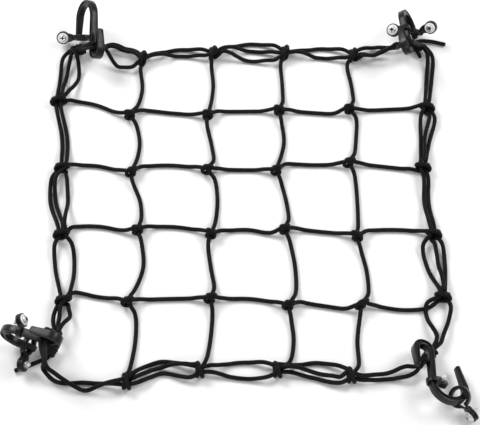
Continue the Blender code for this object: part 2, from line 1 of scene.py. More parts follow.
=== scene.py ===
"""The looks of a cargo net of elastic cord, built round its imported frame.

Everything is in metres in the frame's own place.  Tables of places are in millimetres, from the
middle of the net as it was laid out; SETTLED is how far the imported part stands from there.

Three cords make the net.  The border cord runs round it twice, through the eyes of the four hooks.
The row cord zigzags from the back left corner to the front left one, and the column cord from the
back left to the back right one.  Both are hitched wherever they meet another cord.
"""
import logging
import math
from collections.abc import Callable
from dataclasses import dataclass, field
from enum import Enum
from typing import NamedTuple

import bmesh
import bpy
import numpy as np
from mathutils import Matrix, Vector

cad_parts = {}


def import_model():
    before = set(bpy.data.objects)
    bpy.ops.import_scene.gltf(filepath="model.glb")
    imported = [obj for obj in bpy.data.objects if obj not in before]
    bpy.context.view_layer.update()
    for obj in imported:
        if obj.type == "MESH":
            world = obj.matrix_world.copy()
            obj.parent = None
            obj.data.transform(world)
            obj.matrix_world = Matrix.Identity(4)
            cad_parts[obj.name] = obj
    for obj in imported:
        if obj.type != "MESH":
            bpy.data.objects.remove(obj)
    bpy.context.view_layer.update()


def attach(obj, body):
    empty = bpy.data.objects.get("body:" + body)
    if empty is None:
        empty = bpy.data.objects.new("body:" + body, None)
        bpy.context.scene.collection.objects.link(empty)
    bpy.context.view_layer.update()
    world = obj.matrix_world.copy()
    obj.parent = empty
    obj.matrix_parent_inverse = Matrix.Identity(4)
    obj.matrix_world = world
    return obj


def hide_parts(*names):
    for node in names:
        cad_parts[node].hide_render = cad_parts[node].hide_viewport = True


LOG = logging.getLogger("cargo_net")
MM = 0.001
BODY = "root"
SETTLED = Vector((7.189, 3.532, 0.420)) * MM
UP = Vector((0.0, 0.0, 1.0))

# ---------------------------------------------------------------- the net's sizes
CELLS = 5
PITCH = 80 * MM
CORD = 4.6 * MM
PAIR_OFFSET = 2.6 * MM           # each border strand from the middle of its knot
KNOT_AXIS = 6.7 * MM             # height of the cord that a knot holds
FLOOR_AXIS = CORD / 2 + 0.1 * MM
RISE_LENGTH = 18 * MM            # over which a cord rises to its knot
RISE_START = 1.35                # how many of those lengths before the knot the rise starts
STACK = CORD + 0.6 * MM          # between the axes of two cords, one lying across the other
STACK_REACH = 8 * MM             # how far from a crossing the upper cord stays up
STACK_SLOPE = 0.6                # how steeply it comes down after that
CORNER_CLEARANCE = 3.0 * MM
THIRD_CLEARANCE = 11 * MM        # from a knot's middle to the end of a third strand's line
WAY_REACH = 9 * MM               # to each side of the place where a line's direction is read

# (row, column): shift of the knot from the even grid, to the right and to the back.
KNOT_SHIFT = {
    (0, 1): (3, -10), (0, 2): (4, -3), (0, 3): (7, -2), (0, 4): (5, -6),
    (1, 0): (-10, 11), (1, 1): (-9, -7), (1, 2): (-1, -7), (1, 3): (-1, -1), (1, 4): (-2, 1), (1, 5): (5, 2),
    (2, 0): (0, 3), (2, 1): (-4, -2), (2, 2): (-1, 1), (2, 3): (-5, 0), (2, 4): (-5, 10), (2, 5): (-4, 3),
    (3, 0): (4, -1), (3, 1): (5, 5), (3, 2): (4, 0), (3, 3): (3, 6), (3, 4): (0, -3), (3, 5): (2, -1),
    (4, 0): (11, 0), (4, 1): (-2, -1), (4, 2): (4, 3), (4, 3): (6, -5), (4, 4): (2, -4), (4, 5): (7, 4),
    (5, 1): (0, -12), (5, 2): (-6, 1), (5, 3): (-7, 1), (5, 4): (-12, -5),
}
# How far each span bows near its start, in its middle and near its end, one tuple for each cell.
# Rows run to the right and bow to the back; columns run to the front and bow to the right.
ROW_BOWS = {
    1: [(6, 7, 1), (8, 5, 2), (5, 4, 2), (1, -2, -4), (0, 1, 2)],
    2: [(6, 7, 2), (8, 9, 5), (2, 2, 2), (8, 4, 1), (1, 0, -1)],
    3: [(10, 9, 1), (6, 8, 5), (4, 4, -3), (3, 3, 3), (8, 9, 6)],
    4: [(11, 7, 4), (3, 3, 2), (2, 5, 3), (4, 0, -4), (-2, -9, -9)],
}
COLUMN_BOWS = {
    1: [(0, 7, 6), (7, 10, 5), (0, 6, 5), (6, 11, 5), (8, 8, 3)],
    2: [(-1, 3, 2), (-1, 4, 7), (8, 9, 5), (-3, 0, 4), (4, 6, 5)],
    3: [(-4, 0, 3), (3, 7, 3), (3, 6, 6), (5, 9, 8), (4, 11, 11)],
    4: [(-6, 0, 4), (8, 8, 6), (5, 5, 3), (3, 8, 8), (0, 1, 6)],
}
# The border's cells from each side's first corner: its outer, inner and third strand's bows.
BORDER_BOWS = {
    "left": [
        {"outer": (-8, -6, -3), "inner": (1, 1, 2), "third": (10, 15, 9)},
        {"outer": (-2, 1, 0), "inner": (3, 7, 6)},
        {"outer": (-12, -13, -5), "inner": (-7, -7, 1), "third": (5, 6, 4)},
        {"outer": (-8, -8, -4), "inner": (11, 12, 8)},
        {"outer": (-6, -9, -6), "inner": (-2, -2, -2), "third": (5, 9, 2)},
    ],
    "right": [
        {"outer": (10, 8, 4), "inner": (4, 2, -1)},
        {"outer": (10, 6, 3), "inner": (-6, -4, -3), "third": (4, 0, 1)},
        {"outer": (4, 1, 2), "inner": (-1, -4, -3)},
        {"outer": (8, 8, 4), "inner": (-13, -11, -4), "third": (0, 1, 2)},
        {"outer": (9, 8, 4), "inner": (-16, -14, -4)},
    ],
    "back": [
        {"outer": (9, 9, 7), "inner": (4, 4, 2), "third": (-8, -18, -15)},
        {"outer": (6, 12, 8), "inner": (2, 3, -1)},
        {"outer": (9, 16, 12), "inner": (6, 6, 2), "third": (-1, -8, -10)},
        {"outer": (4, 11, 9), "inner": (0, -2, -3)},
        {"outer": (7, 8, 2), "inner": (-1, -3, -2), "third": (-5, -8, -5)},
    ],
    "front": [
        {"outer": (-11, -6, -4), "inner": (-5, -15, -4)},
        {"outer": (-2, 5, -6), "inner": (11, 18, 9), "third": (4, 11, 7)},
        {"outer": (-2, -7, -8), "inner": (5, 10, 9)},
        {"outer": (-1, -4, -9), "inner": (5, 13, 10), "third": (2, 1, -4)},
        {"outer": (-6, -6, -7), "inner": (-3, -2, 4)},
    ],
}
# Each corner's lashing, from the left or right side's strands to the back or front side's strands,
# as (right, back, height) places.
LASHINGS = {
    "back_left": [(-196, 201, 6), (-190, 203, 7), (-181, 202, 8), (-173, 203, 7), (-165, 204, 6)],
    "back_right": [(204, 207, 6), (198, 209, 7), (193, 207, 8), (185, 204, 7), (177, 205, 6)],
    "front_left": [(-192, -163, 6), (-196, -172, 7), (-200, -180, 8), (-202, -187, 7), (-203, -195, 6)],
    "front_right": [(198, -169, 6), (194, -175, 6), (188, -183, 6), (182, -191, 6), (176, -196, 6)],
}
# The stretch of its lashing that each corner's turns of cord cover, as shares of its length.
LASHED = {
    "back_left": (0.02, 0.42), "back_right": (0.05, 0.45),
    "front_left": (0.3, 0.66), "front_right": (0.3, 0.72),
}
# The free end of each of the three cords, as (right, back, height) places.  The border cord starts
# with its own, and the other two end with theirs.
FREE_ENDS = {
    "border": [(233, 213, 2.6), (218, 217, 3), (206, 217, 5), (194, 211, 8)],
    "column": [(194, 207, 8), (199, 202, 6), (203, 194, 3)],
    "row": [(-201, -185, 6), (-213, -189, 3.4), (-225, -194, 2.7), (-235, -198, 2.6)],
}


@dataclass(frozen=True)
class HookStance:
    """How a hook lies, in millimetres and degrees."""

    place: tuple[float, float, float]
    heading: float                # of its shaft, from the right round to the back
    rise: float                   # of its shaft
    roll: float                   # of its plane, up towards its tongue
    side: int                     # of its tongue, 1 or -1
    lean: float                   # how much further than half a turn its wide bend goes
    arm: float                    # length of that arm
    threaded: float               # how far along the shaft the border cord's first turn passes


@dataclass(frozen=True)
class ClampStance:
    """Where a clamp's ring is, in millimetres, and the ways of its tab and its screw's head."""

    tab: tuple[float, float, float]
    head: tuple[float, float, float]
    place: tuple[float, float, float] = (0, 0, 0)     # the middle of a loose clamp's ring
    axis: tuple[float, float, float] = (0, 0, 1)      # of a loose clamp's ring
    hook: str = ""                                    # the hook whose shaft a tight clamp is on
    along: float = 0.0                                # how far along that shaft it is


HOOK_STANCES = {
    "back_left": HookStance(place=(-171, 186, 29), heading=90, rise=25, roll=57, side=1,
                            lean=-8, arm=25, threaded=1),
    "back_right": HookStance(place=(185, 180, 41), heading=97, rise=0, roll=62, side=-1,
                             lean=-20, arm=11, threaded=1),
    "front_left": HookStance(place=(-192, -185, 45), heading=160, rise=-3, roll=92, side=1,
                             lean=-8, arm=17, threaded=4),
    "front_right": HookStance(place=(188, -183, 16), heading=-91, rise=15, roll=19, side=1,
                              lean=14, arm=25, threaded=11),
}
CLAMP_STANCES = {
    "back_left": ClampStance(place=(-187, 216, 12), axis=(0, 87, 50), tab=(-100, 0, 0), head=(0, -70, 70)),
    "back_right_outer": ClampStance(place=(195, 224, 13), axis=(20, 85, 50),
                                    tab=(86, -9, 49), head=(0, -70, 70)),
    "back_right_inner": ClampStance(hook="back_right", along=26, tab=(-90, 20, -35), head=(-15, -45, 88)),
    "front_left_lower": ClampStance(place=(-221, -174, 13), axis=(85, -45, 17),
                                    tab=(-20, -97, 0), head=(-85, -20, -30)),
    "front_left_upper": ClampStance(hook="front_left", along=36, tab=(0, 97, -20), head=(80, -35, 50)),
    "front_right_lower": ClampStance(place=(214, -234, 20), axis=(-52, -28, 80),
                                     tab=(57, -64, -52), head=(-70, -68, -10)),
    "front_right_upper": ClampStance(hook="front_right", along=38, tab=(70, 22, -68), head=(-70, -60, -35)),
}


class Side(Enum):
    """A side of the net: its two corners, and the way out of the net."""

    LEFT = ("back_left", "front_left", (-1, 0, 0))
    RIGHT = ("back_right", "front_right", (1, 0, 0))
    BACK = ("back_left", "back_right", (0, 1, 0))
    FRONT = ("front_left", "front_right", (0, -1, 0))

    def knots(self) -> list[tuple[int, int]]:
        """The side's knots, from its first corner.

        Returns:
            Each knot's row and column.
        """
        inner = range(1, CELLS)
        return {
            Side.LEFT: [(row, 0) for row in inner],
            Side.RIGHT: [(row, CELLS) for row in inner],
            Side.BACK: [(0, column) for column in inner],
            Side.FRONT: [(CELLS, column) for column in inner],
        }[self]

    def node(self, part: str) -> str:
        """The name of the frame's node for a part of the side's border."""
        return f"border_{self.name.lower()}_{part}"

    def thirds(self) -> list[str]:
        """The nodes of the side's third strands."""
        bows = BORDER_BOWS[self.name.lower()]
        return [self.node(f"third_{number}") for number, cell in enumerate(bows, 1) if "third" in cell]


class Hitch(Enum):
    """How a cord leaves its knot: on across the cord that it holds, or back to where it came from."""

    THROUGH = "through"
    BACK = "back"


class FarEnd(Enum):
    KNOT = "knot"
    BARE = "bare"


class Slot(Enum):
    """The record's material slots."""

    CORD = "cord"
    HOOK = "hook_plastic"
    CLAMP = "clamp_plastic"
    STEEL = "zinc_steel"


# ---------------------------------------------------------------- lines
def place_of(right: float, back: float, height: float = 0.0) -> Vector:
    """A point in metres from a table's millimetres."""
    return Vector((right * MM, back * MM, height * MM))


def smooth_step(value: float) -> float:
    """A value from 0 to 1, eased at both ends."""
    value = min(max(value, 0.0), 1.0)
    return value * value * (3 - 2 * value)


class Line:
    """A smooth line through given points, as fine steps that know how far along they are."""

    FINE = 10                    # fine steps between two given points

    def __init__(self, points: list[Vector]) -> None:
        """Run a smooth line through the points.

        Args:
            points: The given points, in order.
        """
        ends = [2 * points[0] - points[1], *points, 2 * points[-1] - points[-2]]
        self.points: list[Vector] = []
        for before, start, end, after in zip(ends, ends[1:], ends[2:], ends[3:]):
            for step in range(self.FINE):
                t = step / self.FINE
                self.points.append(0.5 * (2 * start + (end - before) * t
                                          + (2 * before - 5 * start + 4 * end - after) * t ** 2
                                          + (3 * start - before - 3 * end + after) * t ** 3))
        self.points.append(points[-1].copy())
        self.measure()

    def measure(self) -> None:
        """Work out how far along the line each fine point is."""
        self.along = [0.0]
        for start, end in zip(self.points, self.points[1:]):
            self.along.append(self.along[-1] + (end - start).length)

    def of_given(self, index: int) -> float:
        """How far along the line the given point with this number is."""
        return self.along[index * self.FINE]

    def between(self, start: float, end: float) -> list[Vector]:
        """The fine points from one distance along the line to another."""
        return [point.copy() for point, here in zip(self.points, self.along) if start <= here <= end]

    def way_at(self, distance: float) -> Vector:
        """The level direction of the line at a place on it.

        Args:
            distance: How far along the line the place is.

        Returns:
            The direction, of length 1.
        """
        near = self.between(distance - WAY_REACH, distance + WAY_REACH)
        way = near[-1] - near[0]
        return Vector((way.x, way.y, 0.0)).normalized()


def rise_at_knots(line: Line, knots: list[float], low: float, high: float) -> None:
    """Lay a line on the ground, and lift it to its knots.

    Args:
        line: The line to lift.
        knots: How far along the line each knot is.
        low: The height of its axis on the ground.
        high: The height of its axis in a knot.
    """
    for index, here in enumerate(line.along):
        nearest = min(abs(here - knot) for knot in knots)
        line.points[index].z = low + (high - low) * smooth_step(RISE_START - nearest / RISE_LENGTH)
    line.measure()


def lay_over(line: Line, laid: list[Line]) -> None:
    """Lift a line where it crosses others, with a gentle way up and down.

    Args:
        line: The line to lift.
        laid: The lines that already lie there.
    """
    raw = []
    for point in line.points:
        height = point.z
        for other in laid:
            for spot in other.points:
                apart = math.hypot(point.x - spot.x, point.y - spot.y)
                if apart < STACK:
                    height = max(height, spot.z + math.sqrt(STACK ** 2 - apart ** 2))
        raw.append(height)
    for index, here in enumerate(line.along):
        line.points[index].z = max(height - STACK_SLOPE * max(abs(here - there) - STACK_REACH, 0.0)
                                   for height, there in zip(raw, line.along))
    line.measure()


def knot_place(row: int, column: int) -> Vector:
    """Where a knot lies on the ground.

    Args:
        row: The knot's row, from 0 at the back.
        column: Its column, from 0 on the left.

    Returns:
        The place, at height 0.
    """
    right, back = KNOT_SHIFT[row, column]
    half = CELLS / 2
    return Vector(((column - half) * PITCH + right * MM, (half - row) * PITCH + back * MM, 0.0))


def bowed(start: Vector, end: Vector, bows: tuple[float, ...]) -> list[Vector]:
    """The points of a span's bow, between its ends.

    Args:
        start: Where the span starts.
        end: Where it ends.
        bows: How far it bows aside near its start, in its middle and near its end, in millimetres.

    Returns:
        The three points.
    """
    way = end - start
    aside = Vector((-way.y, way.x, 0.0)).normalized()
    return [start + way * share + aside * bow * MM for share, bow in zip((1 / 6, 1 / 2, 5 / 6), bows)]


def crossing_line(knots: list[Vector], bows: list[tuple[float, ...]]) -> tuple[Line, list[float]]:
    """A row or a column through its knots.

    Args:
        knots: The knots on the ground, from its first border to its last.
        bows: The bows of each span.

    Returns:
        The line, and how far along it each knot is.
    """
    points: list[Vector] = []
    places = []
    for index, knot in enumerate(knots):
        places.append(len(points))
        points.append(knot)
        if index < len(bows):
            points += bowed(knot, knots[index + 1], bows[index])
    line = Line(points)
    stops = [line.of_given(place) for place in places]
    rise_at_knots(line, stops, FLOOR_AXIS, KNOT_AXIS)
    return line, stops


def corner_end(corner: str, side: Side) -> tuple[Vector, Vector]:
    """Where a side's strands meet a corner's lashing.

    Args:
        corner: The corner.
        side: The side.

    Returns:
        The place, and the way across the strands, out from the net.
    """
    bundle = [place_of(right, back) for right, back, _ in LASHINGS[corner]]
    end, inner = (bundle[0], bundle[1]) if side in (Side.LEFT, Side.RIGHT) else (bundle[-1], bundle[-2])
    way = (end - inner).normalized()
    across = Vector((-way.y, way.x, 0.0))
    return end + way * CORNER_CLEARANCE, across if across.dot(end) > 0 else -across


def strand_lines(side: Side) -> dict[str, Line]:
    """The lines of a side's two border strands and of its third strands.

    Args:
        side: The side.

    Returns:
        Each strand's line by its name, from bottom to top.
    """
    first_corner, last_corner, outward = side.value
    start, across_start = corner_end(first_corner, side)
    end, across_end = corner_end(last_corner, side)
    nodes = [start, *[knot_place(*number) for number in side.knots()], end]
    across = [across_start, *[Vector(outward)] * (CELLS - 1), across_end]
    bows = BORDER_BOWS[side.name.lower()]
    laid: dict[str, Line] = {}
    for strand, sign in (("outer", 1), ("inner", -1)):
        points: list[Vector] = []
        places = []
        for index, node in enumerate(nodes):
            places.append(len(points))
            points.append(node + across[index] * sign * PAIR_OFFSET)
            if index < CELLS:
                points += bowed(node, nodes[index + 1], bows[index][strand])
        line = Line(points)
        rise_at_knots(line, [line.of_given(place) for place in places], FLOOR_AXIS, KNOT_AXIS)
        lay_over(line, list(laid.values()))
        laid[strand] = line
    for index, cell in enumerate(bows):
        if "third" in cell:
            first, last = nodes[index], nodes[index + 1]
            middle = bowed(first, last, cell["third"])
            if index > 0:
                first = first + (middle[0] - first).normalized() * THIRD_CLEARANCE
            if index < CELLS - 1:
                last = last + (middle[-1] - last).normalized() * THIRD_CLEARANCE
            line = Line([first, *middle, last])
            rise_at_knots(line, [0.0, line.along[-1]], FLOOR_AXIS, KNOT_AXIS)
            lay_over(line, list(laid.values()))
            laid[f"third_{index + 1}"] = line
    return laid


@dataclass(frozen=True)
class KnotShape:
    """The turns of a hitch about the cords that it holds.

    Each row of a table is a turn's angle in degrees, its place along the held cord in cord widths,
    and its extra height over the held cord in cord widths.
    """

    turn_radius: float = 4.25 * MM
    width: float = 3.6 * MM       # of the cord as squeezed in the knot
    angle_step: float = 15.0
    snugness: float = 3.0         # how square the turns sit on two held cords
    through: tuple[tuple[float, float, float], ...] = (
        (-40, -0.2, 0.1), (0, -0.5, 0.0), (90, -0.85, 0.0), (180, -0.7, 0.0), (270, -1.05, 0.05),
        (315, -0.6, 0.6), (360, 0.0, 0.8), (405, 0.6, 0.6), (450, 1.05, 0.05), (540, 0.7, 0.0),
        (630, 0.85, 0.0), (720, 0.5, 0.0), (760, 0.2, 0.1),
    )
    back: tuple[tuple[float, float, float], ...] = (
        (-35, -0.5, 0.25), (0, -0.5, 0.0), (90, -0.75, 0.0), (180, -0.6, 0.0), (270, -0.95, 0.05),
        (315, -0.6, 0.5), (360, 0.0, 0.8), (405, 0.6, 0.6), (450, 0.95, 0.05), (540, 0.55, 0.0),
        (575, 0.4, 0.0),
    )

    def points(self, centre: Vector, along: Vector, across: Vector, kind: Hitch,
               half_gap: float) -> list[Vector]:
        """The points of a cord through its hitch.

        Args:
            centre: The middle of the held cords.
            along: The way of the held cords, from where the hitch begins to where it ends.
            across: The way that the cord travels, or for a hitch back, the way that it comes from.
            kind: Whether the cord goes on across the held cords or back.
            half_gap: Half the distance between the axes of two held cords, or 0 for one.

        Returns:
            The points, from where the cord comes in to where it goes out.
        """
        table = self.through if kind is Hitch.THROUGH else self.back
        spin = -1 if kind is Hitch.THROUGH else 1
        angles = [row[0] for row in table]
        made = []
        for angle in np.arange(angles[0], angles[-1] + 1, self.angle_step):
            shift, lift = (float(np.interp(angle, angles, [row[column] for row in table]))
                           for column in (1, 2))
            turned = math.radians(90 + spin * angle)
            radius = self.turn_radius + lift * self.width
            sideways = radius * math.cos(turned) + half_gap * math.tanh(self.snugness * math.cos(turned))
            made.append(centre + across * sideways + UP * radius * math.sin(turned)
                        + along * shift * self.width)
        return made


def even_path(points: list[Vector], step: float, passes: int) -> np.ndarray:
    """Points at even steps along a polyline, smoothed.

    Args:
        points: The polyline's corners.
        step: The distance between two points of the result.
        passes: How many times each point is moved towards its neighbours.

    Returns:
        An array with one row for each point.
    """
    rough = np.array([tuple(point) for point in points])
    for _ in range(2):
        length = np.concatenate([[0.0], np.cumsum(np.linalg.norm(np.diff(rough, axis=0), axis=1))])
        stations = np.linspace(0.0, length[-1], max(int(length[-1] / step), 6))
        rough = np.column_stack([np.interp(stations, length, rough[:, axis]) for axis in range(3)])
        for _ in range(passes):
            rough[1:-1] = 0.25 * rough[:-2] + 0.5 * rough[1:-1] + 0.25 * rough[2:]
    return rough


def path_length(path: np.ndarray) -> float:
    """The length of a path."""
    return float(np.linalg.norm(np.diff(path, axis=0), axis=1).sum())


# ---------------------------------------------------------------- mesh helpers
def new_object(name: str, mesh: bpy.types.Mesh) -> bpy.types.Object:
    """Put a mesh into the scene.

    Args:
        name: The object's name.
        mesh: The mesh, in its place.

    Returns:
        The new object.
    """
    made = bpy.data.objects.new(name, mesh)
    bpy.context.scene.collection.objects.link(made)
    return made


def start_primitive() -> None:
    """Leave edit mode and deselect everything, before a primitive is added."""
    if bpy.context.mode != "OBJECT":
        bpy.ops.object.mode_set(mode="OBJECT")
    bpy.ops.object.select_all(action="DESELECT")


def apply_modifier(made: bpy.types.Object, kind: str, **settings: object) -> None:
    """Add a modifier, and apply it.

    Args:
        made: The object.
        kind: The modifier's type.
        settings: The modifier's own properties.
    """
    modifier = made.modifiers.new(kind.lower(), kind)
    for key, value in settings.items():
        setattr(modifier, key, value)
    start_primitive()
    made.select_set(True)
    bpy.context.view_layer.objects.active = made
    bpy.ops.object.modifier_apply(modifier=modifier.name)


def round_edges(made: bpy.types.Object, width: float, segments: int = 2, angle: float = 35.0) -> None:
    """Round an object's sharp edges, and shade it smooth over them.

    Args:
        made: The object.
        width: The width of the rounding.
        segments: How many faces it has across.
        angle: How sharp an edge has to be, in degrees.
    """
    apply_modifier(made, "BEVEL", width=width, segments=segments, limit_method="ANGLE",
                   angle_limit=math.radians(angle), use_clamp_overlap=True)
    start_primitive()
    made.select_set(True)
    bpy.context.view_layer.objects.active = made
    bpy.ops.object.shade_smooth_by_angle(angle=math.radians(angle))


def select_faces(made: bpy.types.Object, wanted: Callable[[bmesh.types.BMFace], bool]) -> None:
    """In edit mode, select just the faces that a test picks.

    Args:
        made: The object in edit mode.
        wanted: A function from a face to whether it is picked.
    """
    bpy.ops.mesh.select_mode(type="FACE")
    bpy.ops.mesh.select_all(action="DESELECT")
    shape = bmesh.from_edit_mesh(made.data)
    for face in shape.faces:
        if wanted(face):
            face.select_set(True)
    bmesh.update_edit_mesh(made.data)


def pose_matrix(place: Vector, x_axis: Vector, y_axis: Vector) -> Matrix:
    """A matrix from a place and two directions.

    Args:
        place: Where the matrix takes the origin.
        x_axis: Where it points the first axis.
        y_axis: About where it points the second one, which is set square to the first.

    Returns:
        The matrix, which turns and moves without scaling.
    """
    x_axis = x_axis.normalized()
    z_axis = x_axis.cross(y_axis).normalized()
    y_axis = z_axis.cross(x_axis)
    return Matrix.Translation(place) @ Matrix((x_axis, y_axis, z_axis)).transposed().to_4x4()


def finish_piece(made: bpy.types.Object, look: bpy.types.Material, nodes: list[str]) -> None:
    """Dress a piece, and tie it to the frame.

    Args:
        made: The piece.
        look: Its material, unless its faces have theirs already.
        nodes: The frame's nodes that it stands for.
    """
    if not made.data.materials:
        made.data.materials.append(look)
    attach(made, BODY)
    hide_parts(*nodes)
    LOG.info("%s: %d faces, for %s", made.name, len(made.data.polygons), ", ".join(nodes))


# ---------------------------------------------------------------- finishes
# The Mix node's colour sockets share their names with its number sockets, so they go by number.
MIX_FIRST, MIX_SECOND, MIX_RESULT = 6, 7, 2
# below this height the braid's valleys get painted shade
VALLEY_TOP = 0.35                # the braid's height at which its valleys end
PATCH_START, PATCH_END = 0.35, 0.7
Colour = tuple[float, float, float]


class NodeBench:
    """A small bench for wiring the nodes of one material or group."""

    def __init__(self, tree: bpy.types.NodeTree) -> None:
        """Work on this node tree."""
        self.tree = tree

    def wire(self, node: bpy.types.Node, inputs: dict) -> None:
        """Set a node's inputs.

        Args:
            node: The node.
            inputs: For each input by name or number, a value or the output that feeds it.
        """
        for key, value in inputs.items():
            if isinstance(value, bpy.types.NodeSocket):
                self.tree.links.new(value, node.inputs[key])
            else:
                node.inputs[key].default_value = value

    def add(self, kind: str, inputs: dict | None = None, **settings: object) -> bpy.types.Node:
        """Add a node.

        Args:
            kind: The node's type.
            inputs: For each input by name or number, a value or the output that feeds it.
            settings: The node's own properties.

        Returns:
            The node.
        """
        node = self.tree.nodes.new(kind)
        for key, value in settings.items():
            setattr(node, key, value)
        self.wire(node, inputs or {})
        return node

    def maths(self, operation: str, first: object, second: object = 0.0) -> bpy.types.NodeSocket:
        """The output of a math node."""
        return self.add("ShaderNodeMath", {0: first, 1: second}, operation=operation).outputs[0]

    def spread(self, value: object, low: float, high: float, start: float = 0.0,
               end: float = 1.0) -> bpy.types.NodeSocket:
        """A value mapped from start..end to low..high."""
        return self.add("ShaderNodeMapRange", {"Value": value, "From Min": start, "From Max": end,
                                               "To Min": low, "To Max": high}).outputs["Result"]

    def noise(self, inputs: dict) -> bpy.types.NodeSocket:
        """A noise pattern on Object coordinates."""
        spot = self.add("ShaderNodeTexCoord").outputs["Object"]
        return self.add("ShaderNodeTexNoise", {"Vector": spot, **inputs}).outputs["Fac"]

    def mix(self, factor: bpy.types.NodeSocket, first: object, second: object) -> bpy.types.NodeSocket:
        """A colour between two, each of them four numbers or an output."""
        return self.add("ShaderNodeMix", {"Factor": factor, MIX_FIRST: first, MIX_SECOND: second},
                        data_type="RGBA").outputs[MIX_RESULT]

    def bump(self, height: bpy.types.NodeSocket, strength: float, distance: float) -> bpy.types.NodeSocket:
        """The normal of a surface with this height."""
        return self.add("ShaderNodeBump", {"Height": height, "Strength": strength,
                                           "Distance": distance}).outputs["Normal"]


def new_look(name: str) -> tuple[bpy.types.Material, NodeBench, bpy.types.Node]:
    """Start a material.

    Args:
        name: Its name.

    Returns:
        The material, a bench on its nodes, and its shader.
    """
    look = bpy.data.materials.new(name)
    look.use_nodes = True
    return look, NodeBench(look.node_tree), look.node_tree.nodes["Principled BSDF"]


def new_group(name: str, inputs: dict[str, float], outputs: tuple[str, ...]) -> bpy.types.NodeTree:
    """Start a shader node group.

    Args:
        name: Its name.
        inputs: Each input's name and usual value.
        outputs: The outputs' names.

    Returns:
        The group, without nodes.
    """
    group = bpy.data.node_groups.new(name, "ShaderNodeTree")
    for socket, default in inputs.items():
        group.interface.new_socket(socket, in_out="INPUT",
                                   socket_type="NodeSocketFloat").default_value = default
    for socket in outputs:
        group.interface.new_socket(socket, in_out="OUTPUT", socket_type="NodeSocketFloat")
    return group


def build_braid_group() -> bpy.types.NodeTree:
    """The braided sheath, woven from the cord's own UV map.

    Returns:
        The group, with the sheath's height and the mask of its valleys, where shade is painted.
    """
    group = new_group("braided_sheath", {"Carriers": 8.0, "Pitch": 5.0}, ("Height", "Valley"))
    bench = NodeBench(group)
    given = bench.add("NodeGroupInput").outputs
    uv = bench.add("ShaderNodeUVMap", uv_map="sheath").outputs[0]
    apart = bench.add("ShaderNodeSeparateXYZ", {0: uv}).outputs
    lengthwise = bench.maths("MULTIPLY", apart[0], given["Pitch"])
    around = bench.maths("MULTIPLY", apart[1], given["Carriers"])
    rising = bench.maths("ADD", lengthwise, around)
    falling = bench.maths("SUBTRACT", lengthwise, around)
    rounds = []
    for way in (rising, falling):
        middle = bench.maths("ABSOLUTE", bench.maths("SUBTRACT", bench.maths("FRACT", way), 0.5))
        squared = bench.maths("MULTIPLY", middle, bench.maths("MULTIPLY", middle, 4.0))
        rounds.append(bench.maths("SUBTRACT", 1.0, squared))
    cell = bench.maths("ADD", bench.maths("FLOOR", rising), bench.maths("FLOOR", falling))
    turn = bench.maths("MODULO", bench.maths("ABSOLUTE", cell), 2.0)
    over = bench.maths("MULTIPLY", rounds[0], turn)
    under = bench.maths("MULTIPLY", rounds[1], bench.maths("SUBTRACT", 1.0, turn))
    height = bench.maths("ADD", over, under)
    # the valley mask carries the painted shade in the braid's low places
    bench.add("NodeGroupOutput", {"Height": height,
                                  "Valley": bench.spread(height, 1.0, 0.0, 0.0, VALLEY_TOP)})
    return group


def build_grain_group() -> bpy.types.NodeTree:
    """Fine grain with faint rubbed patches, on Object coordinates.

    Returns:
        The group, with the grain's height and the mask of its patches.
    """
    group = new_group("fine_grain", {"Grain Size": 2400.0, "Patch Size": 110.0}, ("Height", "Patch"))
    bench = NodeBench(group)
    given = bench.add("NodeGroupInput").outputs
    grain = bench.noise({"Scale": given["Grain Size"], "Detail": 3.0, "Roughness": 0.6})
    patch = bench.noise({"Scale": given["Patch Size"], "Detail": 4.0, "Roughness": 0.55})
    bench.add("NodeGroupOutput", {"Height": grain,
                                  "Patch": bench.spread(patch, 0.0, 1.0, PATCH_START, PATCH_END)})
    return group


@dataclass(frozen=True)
class CordFinish:
    """Black braided polyester over rubber: a matt sheath with a soft sheen, with painted shade in the
    valleys of its braid.
    """

    group: bpy.types.NodeTree
    dark: Colour = (0.0025, 0.0025, 0.0028)
    light: Colour = (0.010, 0.010, 0.011)
    # painted shade: the darker colour of the braid's valleys
    valley: Colour = (0.002, 0.002, 0.002)
    smooth: float = 0.42
    rough: float = 0.56
    wear_size: float = 60.0
    fleck_size: float = 900.0
    wear_share: float = 0.6           # of the mottling, and the flecks' share
    fleck_share: float = 0.4
    mottle_dark: float = 0.35         # the mottling's value at the dark tone, and at the light one
    mottle_light: float = 0.68
    braid_strength: float = 0.6
    braid_depth: float = 0.35 * MM
    sheen: float = 0.01
    specular: float = 0.1

    def build(self) -> bpy.types.Material:
        """Wire the material.

        Returns:
            The material of every cord.
        """
        look, bench, shader = new_look("braided_cord")
        braid = bench.add("ShaderNodeGroup", node_tree=self.group)
        wear = bench.noise({"Scale": self.wear_size, "Detail": 5.0})
        fleck = bench.noise({"Scale": self.fleck_size, "Detail": 2.0})
        share = bench.maths("ADD", bench.maths("MULTIPLY", wear, self.wear_share),
                            bench.maths("MULTIPLY", fleck, self.fleck_share))
        mottle = bench.spread(share, 0.0, 1.0, self.mottle_dark, self.mottle_light)
        tone = bench.mix(mottle, (*self.dark, 1), (*self.light, 1))
        bench.wire(shader, {
            # the braid's valleys get painted shade, a darker colour where the braid is low
            "Base Color": bench.mix(braid.outputs["Valley"], tone, (*self.valley, 1)),
            "Roughness": bench.spread(share, self.smooth, self.rough),
            "Normal": bench.bump(braid.outputs["Height"], self.braid_strength, self.braid_depth),
            "Sheen Weight": self.sheen,
            "Specular IOR Level": self.specular,
        })
        return look


